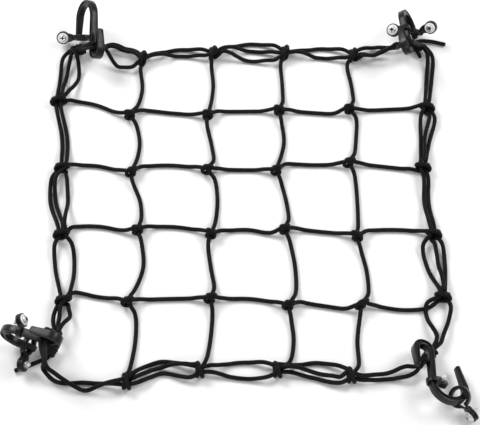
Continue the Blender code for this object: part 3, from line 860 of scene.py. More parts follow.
@dataclass(frozen=True)
class PlasticFinish:
    """Black moulded plastic with a fine grain, a little shinier where it is rubbed."""

    name: str
    group: bpy.types.NodeTree
    dark: Colour
    light: Colour
    dull: float
    shiny: float
    grain_strength: float = 0.25
    grain_depth: float = 0.08 * MM
    specular: float = 0.3

    def build(self) -> bpy.types.Material:
        """Wire the material.

        Returns:
            The material of the hooks or the clamps.
        """
        look, bench, shader = new_look(self.name)
        grain = bench.add("ShaderNodeGroup", node_tree=self.group)
        bench.wire(shader, {
            "Base Color": bench.mix(grain.outputs["Patch"], (*self.dark, 1), (*self.light, 1)),
            "Roughness": bench.spread(grain.outputs["Patch"], self.dull, self.shiny),
            "Normal": bench.bump(grain.outputs["Height"], self.grain_strength, self.grain_depth),
            "Specular IOR Level": self.specular,
        })
        return look


@dataclass(frozen=True)
class SteelFinish:
    """Zinc-plated steel with faint smears, bright outside; a dark copy of it is the painted shade in the
    recess of a screw's head.
    """

    name: str
    group: bpy.types.NodeTree
    bright: Colour
    smeared: Colour
    smooth: float
    rough: float
    grain_size: float = 1500.0
    patch_size: float = 400.0

    def build(self) -> bpy.types.Material:
        """Wire the material.

        Returns:
            The material of screws, washers and nuts, or the painted shade in a screw's recess.
        """
        look, bench, shader = new_look(self.name)
        grain = bench.add("ShaderNodeGroup", node_tree=self.group)
        bench.wire(grain, {"Grain Size": self.grain_size, "Patch Size": self.patch_size})
        bench.wire(shader, {
            "Base Color": bench.mix(grain.outputs["Patch"], (*self.bright, 1), (*self.smeared, 1)),
            "Roughness": bench.spread(grain.outputs["Height"], self.smooth, self.rough),
            "Metallic": 1.0,
        })
        return look


@dataclass
class Finishes:
    """Every finish of the net, built once."""

    cord: bpy.types.Material = field(init=False)
    hook: bpy.types.Material = field(init=False)
    clamp: bpy.types.Material = field(init=False)
    steel: bpy.types.Material = field(init=False)
    # painted shade for the recess of a screw's head
    recess: bpy.types.Material = field(init=False)

    def __post_init__(self) -> None:
        """Build the groups and the materials."""
        grain = build_grain_group()
        self.cord = CordFinish(build_braid_group()).build()
        self.hook = PlasticFinish("moulded_hook", grain, dark=(0.004, 0.004, 0.0045),
                                  light=(0.009, 0.009, 0.010), dull=0.38, shiny=0.26).build()
        self.clamp = PlasticFinish("moulded_clamp", grain, dark=(0.004, 0.004, 0.0045),
                                   light=(0.008, 0.008, 0.009), dull=0.40, shiny=0.28).build()
        self.steel = SteelFinish("zinc_plate", grain, bright=(0.82, 0.82, 0.80),
                                 smeared=(0.55, 0.55, 0.54), smooth=0.24, rough=0.42).build()
        # painted shade: both of the recess's colours are darkened steel, for the shadow inside a screw's
        # cross recess
        self.recess = SteelFinish("recess_steel", grain, bright=(0.06, 0.06, 0.06),
                                  smeared=(0.03, 0.03, 0.03), smooth=0.5, rough=0.7).build()


# ---------------------------------------------------------------- cords
@dataclass
class Cord:
    """One length of elastic cord along a route."""

    name: str
    path: np.ndarray
    radius: float = CORD / 2
    sides: int = 12
    sealed_length: float = 1.6 * MM      # of the rounded, heat-sealed ends
    sealed_share: float = 0.45           # where on their rounding the ends are cut off flat

    def build(self) -> bpy.types.Object:
        """Make the cord's mesh tube, with its sheath's UV map.

        Returns:
            The cord, without a material.
        """
        path = self.path + np.array(SETTLED)
        tangents = np.gradient(path, axis=0)
        tangents /= np.linalg.norm(tangents, axis=1)[:, None]
        normal = np.cross(tangents[0], (0.0, 0.0, 1.0))
        normal /= np.linalg.norm(normal)
        angles = np.linspace(0, 2 * math.pi, self.sides, endpoint=False)
        length = np.concatenate([[0.0], np.cumsum(np.linalg.norm(np.diff(path, axis=0), axis=1))])
        rings = []
        for place, tangent, here in zip(path, tangents, length):
            normal = normal - tangent * normal.dot(tangent)
            normal /= np.linalg.norm(normal)
            other = np.cross(tangent, normal)
            from_end = min(here, length[-1] - here)
            share = min(self.sealed_share + (1 - self.sealed_share) * from_end / self.sealed_length, 1.0)
            size = self.radius * math.sqrt(1 - (1 - share) ** 2)
            rings.append(place + size * (np.cos(angles)[:, None] * normal + np.sin(angles)[:, None] * other))
        verts = np.concatenate(rings)
        count, sides = len(path), self.sides
        faces, uvs = [], []
        around = 2 * math.pi * self.radius
        for ring in range(count - 1):
            low, high = length[ring] / around, length[ring + 1] / around
            for side in range(sides):
                nearby = (side + 1) % sides
                faces.append((ring * sides + side, ring * sides + nearby,
                              (ring + 1) * sides + nearby, (ring + 1) * sides + side))
                left, right = side / sides, (side + 1) / sides
                uvs += [(low, left), (low, right), (high, right), (high, left)]
        first_end, last_end = range(sides - 1, -1, -1), range((count - 1) * sides, count * sides)
        for ends, here in ((first_end, 0.0), (last_end, length[-1] / around)):
            faces.append(tuple(ends))
            uvs += [(here, 0.5)] * sides
        mesh = bpy.data.meshes.new(self.name)
        mesh.from_pydata([tuple(vert) for vert in verts], [], faces)
        layer = mesh.uv_layers.new(name="sheath")
        layer.data.foreach_set("uv", np.array(uvs, np.float32).ravel())
        mesh.polygons.foreach_set("use_smooth", [True] * len(mesh.polygons))
        mesh.update()
        return new_object(self.name, mesh)


@dataclass
class NetCords:
    """The three cords of the net, and the lashings at its corners."""

    finishes: Finishes
    step: float = 1.5 * MM
    passes: int = 2
    knot_reach: float = 10 * MM      # where a span gives way to its hitch
    eye_reach: float = 8 * MM        # how far the border cord runs straight to each side of an eye
    flat_hook: float = 0.8           # how upright a hook's plane's normal is when the hook counts as flat
    loop_trim: int = 4               # fine points left off at each end of a corner's loop
    lashing_turns: float = 3.5
    lashing_radius: float = 5.0 * MM
    lashing_steps: int = 16          # in each turn
    lashing_before: float = 1 * MM   # where a turn's middle is looked for, before and after its place
    lashing_after: float = 4 * MM
    knot: KnotShape = field(default_factory=KnotShape)

    def __post_init__(self) -> None:
        """Lay the strands, rows and columns."""
        self.strands = {side: strand_lines(side) for side in Side}
        numbers = range(CELLS + 1)
        self.rows = {row: crossing_line([knot_place(row, column) for column in numbers], ROW_BOWS[row])
                     for row in range(1, CELLS)}
        self.columns = {column: crossing_line([knot_place(row, column) for row in numbers],
                                              COLUMN_BOWS[column])
                        for column in range(1, CELLS)}

    def border_hitch(self, side: Side, number: int, along: Vector) -> list[Vector]:
        """The hitch of a row or column cord round the border's two strands.

        Args:
            side: The border's side.
            number: The knot's number from the side's first corner, from 1.
            along: Which way the cord moves on along the border.

        Returns:
            The hitch's points.
        """
        centre = knot_place(*side.knots()[number - 1]) + UP * KNOT_AXIS
        inward = -Vector(side.value[2])
        return self.knot.points(centre, along, inward, Hitch.BACK, PAIR_OFFSET)

    def row_points(self, row: int, to_right: bool) -> list[Vector]:
        """A row from border to border, hitched round each column.

        Args:
            row: The row.
            to_right: Whether the cord runs to the right there.

        Returns:
            The points, without those of the border's hitches.
        """
        line, stops = self.rows[row]
        columns = range(CELLS) if to_right else range(CELLS - 1, -1, -1)
        points: list[Vector] = []
        for cell in columns:
            span = line.between(stops[cell] + self.knot_reach, stops[cell + 1] - self.knot_reach)
            points += span if to_right else span[::-1]
            knot = cell + 1 if to_right else cell
            if 0 < knot < CELLS:
                column_line, column_stops = self.columns[knot]
                held = column_line.way_at(column_stops[row])
                travel = line.way_at(stops[knot]) * (1 if to_right else -1)
                centre = knot_place(row, knot) + UP * KNOT_AXIS
                points += self.knot.points(centre, held, travel, Hitch.THROUGH, 0.0)
        return points

    def row_route(self) -> list[Vector]:
        """The whole row cord.

        Returns:
            The points, from the back left corner to the free end at the front left one.
        """
        to_front = Vector((0, -1, 0))
        points = [place_of(*LASHINGS["back_left"][1])]
        for row in range(1, CELLS):
            start, end = (Side.LEFT, Side.RIGHT) if row % 2 else (Side.RIGHT, Side.LEFT)
            points += self.strands[start][f"third_{row}"].points
            points += self.border_hitch(start, row, to_front)
            points += self.row_points(row, bool(row % 2))
            points += self.border_hitch(end, row, to_front)
        points += self.strands[Side.LEFT][f"third_{CELLS}"].points
        return points + [place_of(*spot) for spot in FREE_ENDS["row"]]

    def column_route(self) -> list[Vector]:
        """The whole column cord.

        Returns:
            The points, from the back left corner to the free end at the back right one.
        """
        to_right = Vector((1, 0, 0))
        points = [place_of(*LASHINGS["back_left"][-2])]
        for column in range(1, CELLS):
            start, end = (Side.BACK, Side.FRONT) if column % 2 else (Side.FRONT, Side.BACK)
            line, stops = self.columns[column]
            run = line.between(self.knot_reach, line.along[-1] - self.knot_reach)
            points += self.strands[start][f"third_{column}"].points
            points += self.border_hitch(start, column, to_right)
            points += run if column % 2 else run[::-1]
            points += self.border_hitch(end, column, to_right)
        points += self.strands[Side.BACK][f"third_{CELLS}"].points
        return points + [place_of(*spot) for spot in FREE_ENDS["column"]]

    def corner_loop(self, corner: str, turn: int, to_first: bool) -> list[Vector]:
        """The border cord's way from a side's strand through the hook's eye to the next side's strand.

        Args:
            corner: The corner.
            turn: Which time round the border this is, 0 or 1.
            to_first: Whether it runs towards the lashing's first end.

        Returns:
            The points between the two strands.
        """
        eye = Hook(corner).eye_point(turn)
        through = Hook(corner).matrix().to_3x3() @ UP
        start, end = (place_of(*LASHINGS[corner][index]) for index in ((-1, 0) if to_first else (0, -1)))
        lies_flat = abs(through.z) > self.flat_hook
        # the cord goes down through a flat hook's eye and on under its shaft
        if (through.z > 0) if lies_flat else (through.dot(end - start) < 0):
            through = -through
        return [start, eye - through * self.eye_reach, eye, eye + through * self.eye_reach, end]

    def border_route(self) -> list[Vector]:
        """The whole border cord.

        Returns:
            The points, from the free end at the back right corner twice round the net.
        """
        points = [place_of(*spot) for spot in FREE_ENDS["border"]]
        for turn, strand in enumerate(("outer", "inner")):
            points += self.strands[Side.BACK][strand].points[::-1]
            points += self.loop("back_left", turn, True)
            points += self.strands[Side.LEFT][strand].points
            points += self.loop("front_left", turn, False)
            points += self.strands[Side.FRONT][strand].points
            points += self.loop("front_right", turn, True)
            points += self.strands[Side.RIGHT][strand].points[::-1]
            if turn == 0:
                points += self.loop("back_right", turn, False)
        points += [place_of(*LASHINGS["back_right"][0]), place_of(*LASHINGS["back_right"][2])]
        return points

    def loop(self, corner: str, turn: int, to_first: bool) -> list[Vector]:
        """A corner's loop as fine points."""
        return Line(self.corner_loop(corner, turn, to_first)).points[self.loop_trim:-self.loop_trim]

    def lashing_route(self, corner: str) -> list[Vector]:
        """The turns of cord round a corner's bundle.

        Args:
            corner: The corner.

        Returns:
            The points.
        """
        line = Line([place_of(*spot) for spot in LASHINGS[corner]])
        start, end = (share * line.along[-1] for share in LASHED[corner])
        steps = self.lashing_turns * self.lashing_steps
        points = []
        for step in range(int(steps) + 1):
            share = step / steps
            here = start + (end - start) * share
            spot = line.between(here - self.lashing_before, here + self.lashing_after)[0]
            way = line.way_at(here)
            aside = Vector((-way.y, way.x, 0.0))
            angle = 2 * math.pi * self.lashing_turns * share
            points.append(spot + aside * self.lashing_radius * math.cos(angle)
                          + UP * self.lashing_radius * math.sin(angle))
        return points

    def build(self) -> None:
        """Make every cord, dress it and tie it to the frame."""
        inner = range(1, CELLS)
        routes = {
            "border_cord": (self.border_route(), FarEnd.KNOT,
                            [side.node(strand) for side in Side for strand in ("outer", "inner")]),
            "row_cord": (self.row_route(), FarEnd.BARE,
                         [f"row_cord_{row}" for row in inner] + Side.LEFT.thirds() + Side.RIGHT.thirds()),
            "column_cord": (self.column_route(), FarEnd.BARE,
                            [f"column_cord_{column}" for column in inner]
                            + Side.BACK.thirds() + Side.FRONT.thirds()),
        }
        for corner in LASHINGS:
            routes[f"lashing_cord_{corner}"] = (self.lashing_route(corner), FarEnd.KNOT,
                                                [f"lashing_{corner}"])
        for name, (points, far_end, nodes) in routes.items():
            cord = Cord(name, even_path(points, self.step, self.passes))
            made = cord.build()
            finish_piece(made, self.finishes.cord, nodes)
            LOG.info("%s is %.3f m long", name, path_length(cord.path))


# ---------------------------------------------------------------- hooks
@dataclass
class Hook:
    """A moulded S-hook: a tongue, an eye that the cords run through, a shaft, a wide bend and a tip.

    It is modelled flat, with its shaft along +Y from the origin and its tongue on the +X side.
    """

    corner: str
    shaft: float = 40 * MM
    full_shaft: float = 4 * MM        # of the shaft, before it starts to get narrower
    bend: float = 17.5 * MM           # radius of the wide bend
    eye: float = 8 * MM               # radius of the eye's bend
    tongue: float = 22 * MM
    full_tongue: float = 2 * MM       # of the tongue, after it has stopped getting wider
    tongue_lean: float = 1 * MM       # of the tongue's end towards the shaft
    thickness: float = 6.4 * MM
    eye_width: float = 9 * MM
    bend_width: float = 7.5 * MM
    tip_width: float = 6 * MM
    corner_round: float = 0.7 * MM
    corner_segments: int = 3
    edge_round: float = 0.45 * MM
    rib: float = 1.0 * MM             # width of the rim along each edge of its faces
    groove_depth: float = 1.1 * MM
    flat_face: float = 0.95           # how level a face has to be for the groove to run over it
    tongue_share: float = 0.72        # of the section's size that is left at the tongue's end
    tip_share: float = 0.68           # of the section's thickness that is left at the tip
    end_round: float = 1.2 * MM       # length of the rounding at the tongue's end and at the tip
    end_share: float = 0.6            # of the section's size that is left at the end of that rounding
    arc_steps: int = 30
    merge_distance: float = 0.001 * MM

    def matrix(self) -> Matrix:
        """The hook's place.

        Returns:
            A matrix from the flat hook's axes to the net's.
        """
        stance = HOOK_STANCES[self.corner]
        heading, rise, roll = (math.radians(angle) for angle in (stance.heading, stance.rise, stance.roll))
        along = Vector((math.cos(heading) * math.cos(rise), math.sin(heading) * math.cos(rise),
                        math.sin(rise)))
        level = Vector((math.sin(heading), -math.cos(heading), 0)) * stance.side
        upward = level.cross(along) * stance.side
        return pose_matrix(place_of(*stance.place), level * math.cos(roll) + upward * math.sin(roll), along)

    def eye_point(self, turn: int) -> Vector:
        """Where the border cord's turn with this number, 0 or 1, passes through the eye."""
        first = HOOK_STANCES[self.corner].threaded * MM
        return self.matrix() @ Vector((self.eye, first + turn * CORD, 0.0))

    def extrude(self, right: float, up: float, width: float = 1.0, thickness: float = 1.0) -> None:
        """Extrude the end face in the hook's plane, and then change its size.

        Args:
            right: The step to the right.
            up: The step up.
            width: What the face's width is multiplied by.
            thickness: What its thickness is multiplied by.
        """
        bpy.ops.mesh.extrude_region_move(TRANSFORM_OT_translate={"value": (right, up, 0.0)})
        if width != 1.0:
            bpy.ops.transform.resize(value=(1, 1, width))
        if thickness != 1.0:
            bpy.ops.transform.resize(value=(thickness, 1, 1))

    def start_section(self) -> bpy.types.Object:
        """Start the hook with the small end face of its tongue, selected in edit mode.

        Returns:
            The object.
        """
        centre = (2 * self.eye - self.tongue_lean, self.tongue, 0)
        start_primitive()
        bpy.ops.mesh.primitive_plane_add(size=1, location=centre, rotation=(math.pi / 2, 0, 0))
        made = bpy.context.object
        made.name = made.data.name = f"snap_hook_{self.corner}"
        bpy.ops.object.transform_apply(location=True, rotation=True, scale=True)
        bpy.ops.object.mode_set(mode="EDIT")
        bpy.ops.mesh.select_all(action="SELECT")
        bpy.ops.transform.resize(value=(self.thickness, 1, self.eye_width), center_override=centre)
        bpy.ops.mesh.bevel(offset=self.corner_round, segments=self.corner_segments, affect="VERTICES")
        share = self.tongue_share * self.end_share
        bpy.ops.transform.resize(value=(share, 1, share), center_override=centre)
        return made

    def build(self) -> bpy.types.Object:
        """Model the hook by extruding and spinning its section, and groove both of its faces.

        Returns:
            The hook at its place, without a material.
        """
        stance = HOOK_STANCES[self.corner]
        made = self.start_section()
        share, end = self.tongue_share, self.end_share
        self.extrude(0, -self.end_round, 1 / end, 1 / end)
        self.extrude(self.tongue_lean, self.full_tongue + self.end_round - self.tongue, 1 / share, 1 / share)
        self.extrude(0, -self.full_tongue)
        bpy.ops.mesh.spin(steps=self.arc_steps, angle=math.pi, center=(self.eye, 0, 0), axis=(0, 0, 1))
        self.extrude(0, self.full_shaft)
        self.extrude(0, self.shaft - self.full_shaft, self.bend_width / self.eye_width)
        turn = math.pi + math.radians(stance.lean)
        bpy.ops.mesh.spin(steps=self.arc_steps, angle=-turn, center=(-self.bend, self.shaft, 0),
                          axis=(0, 0, 1))
        arm = stance.arm * MM - self.end_round
        self.extrude(-arm * math.sin(turn), arm * math.cos(turn), self.tip_width / self.bend_width,
                     self.tip_share)
        self.extrude(-self.end_round * math.sin(turn), self.end_round * math.cos(turn), end, end)
        bpy.ops.mesh.select_all(action="SELECT")
        bpy.ops.mesh.remove_doubles(threshold=self.merge_distance)
        bpy.ops.mesh.normals_make_consistent(inside=False)
        for way in (1, -1):
            select_faces(made, lambda face: face.normal.z * way > self.flat_face)
            bpy.ops.mesh.inset(thickness=self.rib, depth=0.0, use_even_offset=True)
            bpy.ops.transform.translate(value=(0, 0, -way * self.groove_depth))
        bpy.ops.object.mode_set(mode="OBJECT")
        round_edges(made, self.edge_round)
        made.data.transform(Matrix.Translation(SETTLED) @ self.matrix())
        return made


# ---------------------------------------------------------------- clamps
class Grip(Enum):
    """How a clamp sits: its ring's radius, its screw's distance and its strap's thickness."""

    TIGHT = (5.5 * MM, 13.5 * MM, 2.2 * MM)
    LOOSE = (9.7 * MM, 22 * MM, 3.4 * MM)


class Station(NamedTuple):
    """A section of a strap: its middle, its two directions and its two sizes."""

    place: Vector
    thick_way: Vector
    wide_way: Vector
    thickness: float
    width: float


@dataclass
class StrapClamp:
    """A plastic strap bent round into a ring, its two ends laid together as a tab for the screw."""

    name: str
    width: float = 5.0 * MM
    neck: float = 8.46 * MM           # width of the tab next to the ring
    neck_length: float = 3.2 * MM     # from the ring to that place
    pad: float = 7.4 * MM             # radius of the tab's round end
    pad_tip: float = 1.6 * MM         # width of its flat tip
    pad_shares: tuple[float, ...] = (0.99, 0.96, 0.9, 0.82, 0.72, 0.58, 0.4, 0.2, 0.0, -0.2, -0.4, -0.58,
                                     -0.74)      # its stations' places, in its radii from the screw
    layer: float = 2.3 * MM           # thickness of each of the tab's two layers
    slit: float = 0.6 * MM
    opening_share: float = 1.3        # of the angle that the tab's layers need at the ring
    ring_steps: int = 40
    blend_steps: int = 5              # steps of the turn from the tab to the ring
    edge_round: float = 0.4 * MM

    def __post_init__(self) -> None:
        """Work out the ring's and the tab's places."""
        stance = CLAMP_STANCES[self.name]
        self.tab, head = Vector(stance.tab).normalized(), Vector(stance.head)
        self.head = (head - self.tab * head.dot(self.tab)).normalized()
        if stance.hook:
            hook = Hook(stance.hook).matrix()
            self.centre = hook @ Vector((0, stance.along * MM, 0))
            self.axis = hook.to_3x3() @ Vector((0, 1, 0))
        else:
            self.centre = place_of(*stance.place)
            self.axis = Vector(stance.axis).normalized()
        self.ring, self.screw, self.strap = (Grip.TIGHT if stance.hook else Grip.LOOSE).value

    def screw_matrix(self) -> Matrix:
        """The screw's place, its third axis towards its head."""
        place = self.centre + self.tab * self.screw + SETTLED
        return pose_matrix(place, self.tab, self.head.cross(self.tab))

    def tab_stations(self, sign: int) -> list[Station]:
        """One layer of the tab, from its round end to the ring.

        Args:
            sign: 1 for the layer on the head's side, -1 for the other.

        Returns:
            The layer's stations.
        """
        across = self.tab.cross(self.head)
        offset = self.head * sign * (self.slit + self.layer) / 2
        rows = [(self.screw + share * self.pad, max(2 * self.pad * math.sqrt(1 - share ** 2), self.pad_tip))
                for share in self.pad_shares]
        rows.append((self.ring + self.neck_length, self.neck))
        return [Station(self.centre + self.tab * along + offset, self.head * sign, across * sign, self.layer,
                        width)
                for along, width in rows]

    def ring_stations(self) -> list[Station]:
        """The strap round the ring, from the head's side of the tab to the other.

        Returns:
            The ring's stations.
        """
        level = (self.tab - self.axis * self.tab.dot(self.axis)).normalized()
        other = self.axis.cross(level)
        if other.dot(self.head) < 0:
            other = -other
        wide_way = -level.cross(other)
        opening = math.asin((self.slit + self.layer) / 2 / self.ring) * self.opening_share
        stations = []
        for step in range(self.ring_steps + 1):
            angle = opening + (2 * math.pi - 2 * opening) * step / self.ring_steps
            out = level * math.cos(angle) + other * math.sin(angle)
            stations.append(Station(self.centre + out * self.ring, out, wide_way, self.strap, self.width))
        return stations

    def blend(self, first: Station, second: Station) -> list[Station]:
        """Stations between two, which turn the strap's section little by little.

        Args:
            first: The station before.
            second: The station after.

        Returns:
            The new stations, in order.
        """
        turns = [Matrix((station.thick_way, station.wide_way, station.thick_way.cross(station.wide_way)))
                 .transposed().to_quaternion() for station in (first, second)]
        stations = []
        for step in range(1, self.blend_steps):
            share = step / self.blend_steps
            turned = turns[0].slerp(turns[1], share).to_matrix()
            stations.append(Station(first.place.lerp(second.place, share), turned.col[0].copy(),
                                    turned.col[1].copy(),
                                    first.thickness + (second.thickness - first.thickness) * share,
                                    first.width + (second.width - first.width) * share))
        return stations

    def stations(self) -> list[Station]:
        """The whole strap.

        Returns:
            Its stations, from one end of the tab round the ring to the other.
        """
        stations = self.tab_stations(1)
        tab_length = len(stations)
        stations += self.ring_stations() + self.tab_stations(-1)[::-1]
        for index in range(1, len(stations)):
            before, here = stations[index - 1], stations[index]
            if here.wide_way.dot(before.wide_way) < 0:
                stations[index] = here._replace(thick_way=-here.thick_way, wide_way=-here.wide_way)
        for index in (len(stations) - tab_length, tab_length):
            stations[index:index] = self.blend(stations[index - 1], stations[index])
        return stations

    def build(self) -> bpy.types.Object:
        """Sweep the strap's section along its stations.

        Returns:
            The clamp at its place, without a material.
        """
        shape = bmesh.new()
        rings = []
        for place, thick_way, wide_way, thickness, width in self.stations():
            rings.append([shape.verts.new(place + thick_way * a * thickness / 2 + wide_way * b * width / 2)
                          for a, b in ((1, 1), (-1, 1), (-1, -1), (1, -1))])
        for ring, following in zip(rings, rings[1:]):
            for side in range(4):
                nearby = (side + 1) % 4
                shape.faces.new((ring[side], ring[nearby], following[nearby], following[side]))
        shape.faces.new(rings[0][::-1])
        shape.faces.new(rings[-1])
        bmesh.ops.recalc_face_normals(shape, faces=shape.faces)
        mesh = bpy.data.meshes.new(f"strap_clamp_{self.name}")
        shape.to_mesh(mesh)
        shape.free()
        mesh.transform(Matrix.Translation(SETTLED))
        made = new_object(mesh.name, mesh)
        round_edges(made, self.edge_round)
        return made


# ---------------------------------------------------------------- screws and nuts
@dataclass
class Fixings:
    """A pan-head screw with its washer, and its hexagon nut, modelled once and copied to each clamp."""

    finishes: Finishes
    seat: float = 2.7 * MM            # half the grip of the screw
    head: float = 4 * MM
    head_height: float = 2.6 * MM
    head_sides: int = 36
    crown: float = 1.5 * MM
    crown_segments: int = 5
    recess: tuple[float, float, float] = (4.6 * MM, 1.25 * MM, 3.2 * MM)      # each bar's cutter
    washer: float = 6 * MM
    washer_height: float = 1 * MM
    washer_sides: int = 40
    washer_round: float = 0.25 * MM
    shank: float = 1.9 * MM
    root_share: float = 0.84          # of the shank's radius that is left between two ridges
    shank_overlap: float = 0.3 * MM   # of the shank and the washer
    shank_sides: int = 20
    thread: float = 0.7 * MM          # pitch
    length: float = 12 * MM
    screw_round: float = 0.08 * MM
    screw_angle: float = 40.0         # how sharp its edges are that are rounded, in degrees
    nut: float = 3.95 * MM
    nut_height: float = 3.2 * MM
    nut_cone: float = 0.985           # radius of the round body that cuts its corners, as a share
    cone_sides: int = 48
    cone_round: float = 0.45 * MM
    bore_room: float = 0.3 * MM
    nut_round: float = 0.15 * MM
    nut_angle: float = 25.0
    end_face: float = 0.9             # how level a face has to be to count as an end of its disc

    def disc(self, radius: float, low: float, high: float, sides: int) -> bpy.types.Object:
        """A cylinder primitive about the third axis.

        Args:
            radius: Its radius.
            low: The height of its bottom.
            high: The height of its top.
            sides: How many sides it has.

        Returns:
            The cylinder.
        """
        start_primitive()
        bpy.ops.mesh.primitive_cylinder_add(vertices=sides, radius=radius, depth=high - low,
                                            location=(0, 0, (low + high) / 2))
        made = bpy.context.object
        bpy.ops.object.transform_apply(location=True, rotation=True, scale=True)
        return made

    def join(self, parts: list[bpy.types.Object]) -> bpy.types.Object:
        """Join objects.

        Args:
            parts: The objects.

        Returns:
            The first of them, which now holds them all.
        """
        start_primitive()
        for part in parts:
            part.select_set(True)
        bpy.context.view_layer.objects.active = parts[0]
        bpy.ops.object.join()
        return parts[0]

    def cut(self, made: bpy.types.Object, cutter: bpy.types.Object, operation: str,
            **settings: object) -> None:
        """Apply a boolean operation, and remove the cutter.

        Args:
            made: The object that is cut.
            cutter: The other object.
            operation: DIFFERENCE or INTERSECT.
            settings: The modifier's other properties.
        """
        apply_modifier(made, "BOOLEAN", object=cutter, operation=operation, solver="EXACT", **settings)
        bpy.data.objects.remove(cutter, do_unlink=True)

    def build_head(self) -> bpy.types.Object:
        """The pan head: a disc with a crowned edge and a cross recess.

        Returns:
            The head, in its two materials: the steel, and the painted shade in its recess.
        """
        low = self.seat + self.washer_height
        top = low + self.head_height
        head = self.disc(self.head, low, top, self.head_sides)
        bpy.ops.object.mode_set(mode="EDIT")
        select_faces(head, lambda face: face.normal.z > self.end_face)
        bpy.ops.mesh.bevel(offset=self.crown, segments=self.crown_segments, affect="EDGES")
        bpy.ops.object.mode_set(mode="OBJECT")
        head.data.materials.append(self.finishes.steel)
        for turn in (0, math.pi / 2):
            start_primitive()
            bpy.ops.mesh.primitive_cube_add(size=1, location=(0, 0, top), rotation=(0, 0, turn),
                                            scale=self.recess)
            cutter = bpy.context.object
            # the cutter's faces bring the recess's painted shade into the head
            cutter.data.materials.append(self.finishes.recess)
            self.cut(head, cutter, "DIFFERENCE", material_mode="TRANSFER")
        return head

    def build_washer(self) -> bpy.types.Object:
        """The washer, a flat ring with broken edges.

        Returns:
            The washer.
        """
        washer = self.disc(self.washer, self.seat, self.seat + self.washer_height, self.washer_sides)
        round_edges(washer, self.washer_round)
        return washer

    def build_shank(self) -> bpy.types.Object:
        """The threaded shank, its ridges extruded one after another.

        Returns:
            The shank.
        """
        top = self.seat + self.washer_height
        shank = self.disc(self.shank * self.root_share, top - self.shank_overlap, top, self.shank_sides)
        bpy.ops.object.mode_set(mode="EDIT")
        select_faces(shank, lambda face: face.normal.z < -self.end_face)
        size = 1 / self.root_share
        for _ in range(int(self.length / self.thread)):
            for scale in (size, 1 / size):
                bpy.ops.mesh.extrude_region_move(TRANSFORM_OT_translate={"value": (0, 0, -self.thread / 2)})
                bpy.ops.transform.resize(value=(scale, scale, 1))
        bpy.ops.object.mode_set(mode="OBJECT")
        return shank

    def build_nut(self) -> bpy.types.Object:
        """The hexagon nut, with chamfered corners and its hole.

        Returns:
            The nut.
        """
        low, high = -self.seat - self.nut_height, -self.seat
        nut = self.disc(self.nut, low, high, 6)
        cone = self.disc(self.nut * self.nut_cone, low, high, self.cone_sides)
        round_edges(cone, self.cone_round)
        self.cut(nut, cone, "INTERSECT")
        bore = self.disc(self.shank + self.bore_room, low - MM, high + MM, self.shank_sides)
        self.cut(nut, bore, "DIFFERENCE")
        round_edges(nut, self.nut_round, angle=self.nut_angle)
        return nut

    def build(self, clamps: list[StrapClamp]) -> None:
        """Copy the screw and the nut to every clamp.

        Args:
            clamps: The clamps.
        """
        screw = self.join([self.build_head(), self.build_washer(), self.build_shank()])
        round_edges(screw, self.screw_round, 1, self.screw_angle)
        nut = self.build_nut()
        for clamp in clamps:
            for model, title, kind in ((screw, "machine_screw", "screw"), (nut, "hex_nut", "nut")):
                mesh = model.data.copy()
                mesh.name = f"{title}_{clamp.name}"
                mesh.transform(clamp.screw_matrix())
                made = new_object(mesh.name, mesh)
                finish_piece(made, self.finishes.steel, [f"{kind}_{clamp.name}"])
        for model in (screw, nut):
            bpy.data.objects.remove(model, do_unlink=True)


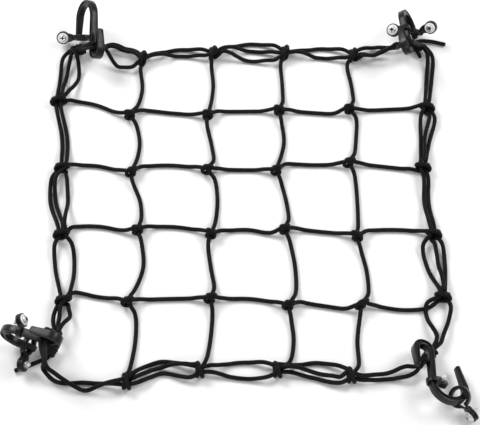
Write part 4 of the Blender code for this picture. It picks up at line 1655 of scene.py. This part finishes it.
# ---------------------------------------------------------------- stage
@dataclass
class Stage:
    """A pale floor, soft lights and the camera at the photograph's angle."""

    target: tuple[float, float, float] = (0.00219, -0.00647, 0.00042)
    elevation: float = 60.0
    distance: float = 1.6
    lens: float = 110.64
    sensor: float = 36.0
    floor_size: float = 6.0
    floor_height: float = -0.05 * MM
    floor_tone: float = 0.93
    floor_rough: float = 0.9
    floor_specular: float = 0.1
    sky_strength: float = 0.42
    panels: tuple[tuple[str, tuple[float, float, float], float, float], ...] = (
        ("panel_left", (-1.2, 1.0, 1.6), 1.0, 32), ("panel_right", (1.5, 0.4, 1.6), 1.0, 22),
        ("panel_front", (0.0, -1.9, 1.1), 1.2, 10),
    )                             # each one's name, place, width in metres and power in watts

    def build(self) -> None:
        """Set everything up."""
        self.add_floor()
        self.add_lights()
        self.add_camera()
        bpy.context.scene.view_settings.view_transform = "Standard"

    def add_floor(self) -> None:
        """A plain white floor that the net lies on."""
        start_primitive()
        bpy.ops.mesh.primitive_plane_add(size=self.floor_size, location=(0, 0, self.floor_height))
        floor = bpy.context.object
        floor.name = "floor"
        look, bench, shader = new_look("pale_floor")
        bench.wire(shader, {"Base Color": (*[self.floor_tone] * 3, 1), "Roughness": self.floor_rough,
                            "Specular IOR Level": self.floor_specular})
        floor.data.materials.append(look)

    def add_lights(self) -> None:
        """Soft light from all round, and three wide panels above."""
        world = bpy.data.worlds.new("studio")
        bpy.context.scene.world = world
        world.use_nodes = True
        NodeBench(world.node_tree).wire(world.node_tree.nodes["Background"],
                                        {"Color": (1, 1, 1, 1), "Strength": self.sky_strength})
        for name, place, size, power in self.panels:
            light = bpy.data.lights.new(name, "AREA")
            light.size, light.energy = size, power
            lamp = bpy.data.objects.new(name, light)
            lamp.location = place
            lamp.rotation_euler = (-Vector(place)).to_track_quat("-Z", "Y").to_euler()
            bpy.context.scene.collection.objects.link(lamp)

    def add_camera(self) -> None:
        """The camera, looking along +Y from the photograph's elevation."""
        up = math.radians(self.elevation)
        camera = bpy.data.cameras.new("camera")
        camera.lens, camera.sensor_width = self.lens, self.sensor
        eye = bpy.data.objects.new("camera", camera)
        eye.location = Vector(self.target) + self.distance * Vector((0, -math.cos(up), math.sin(up)))
        eye.rotation_euler = (math.pi / 2 - up, 0, 0)
        bpy.context.scene.collection.objects.link(eye)
        bpy.context.scene.camera = eye


def main() -> None:
    """Build the net's looks round its frame."""
    logging.basicConfig(level=logging.INFO, format="%(name)s: %(message)s")
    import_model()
    finishes = Finishes()
    Stage().build()
    NetCords(finishes).build()
    for corner in HOOK_STANCES:
        finish_piece(Hook(corner).build(), finishes.hook, [f"hook_{corner}"])
    clamps = [StrapClamp(name) for name in CLAMP_STANCES]
    for clamp in clamps:
        finish_piece(clamp.build(), finishes.clamp, [f"clamp_{clamp.name}"])
    Fixings(finishes).build(clamps)


if __name__ == "__main__":
    main()
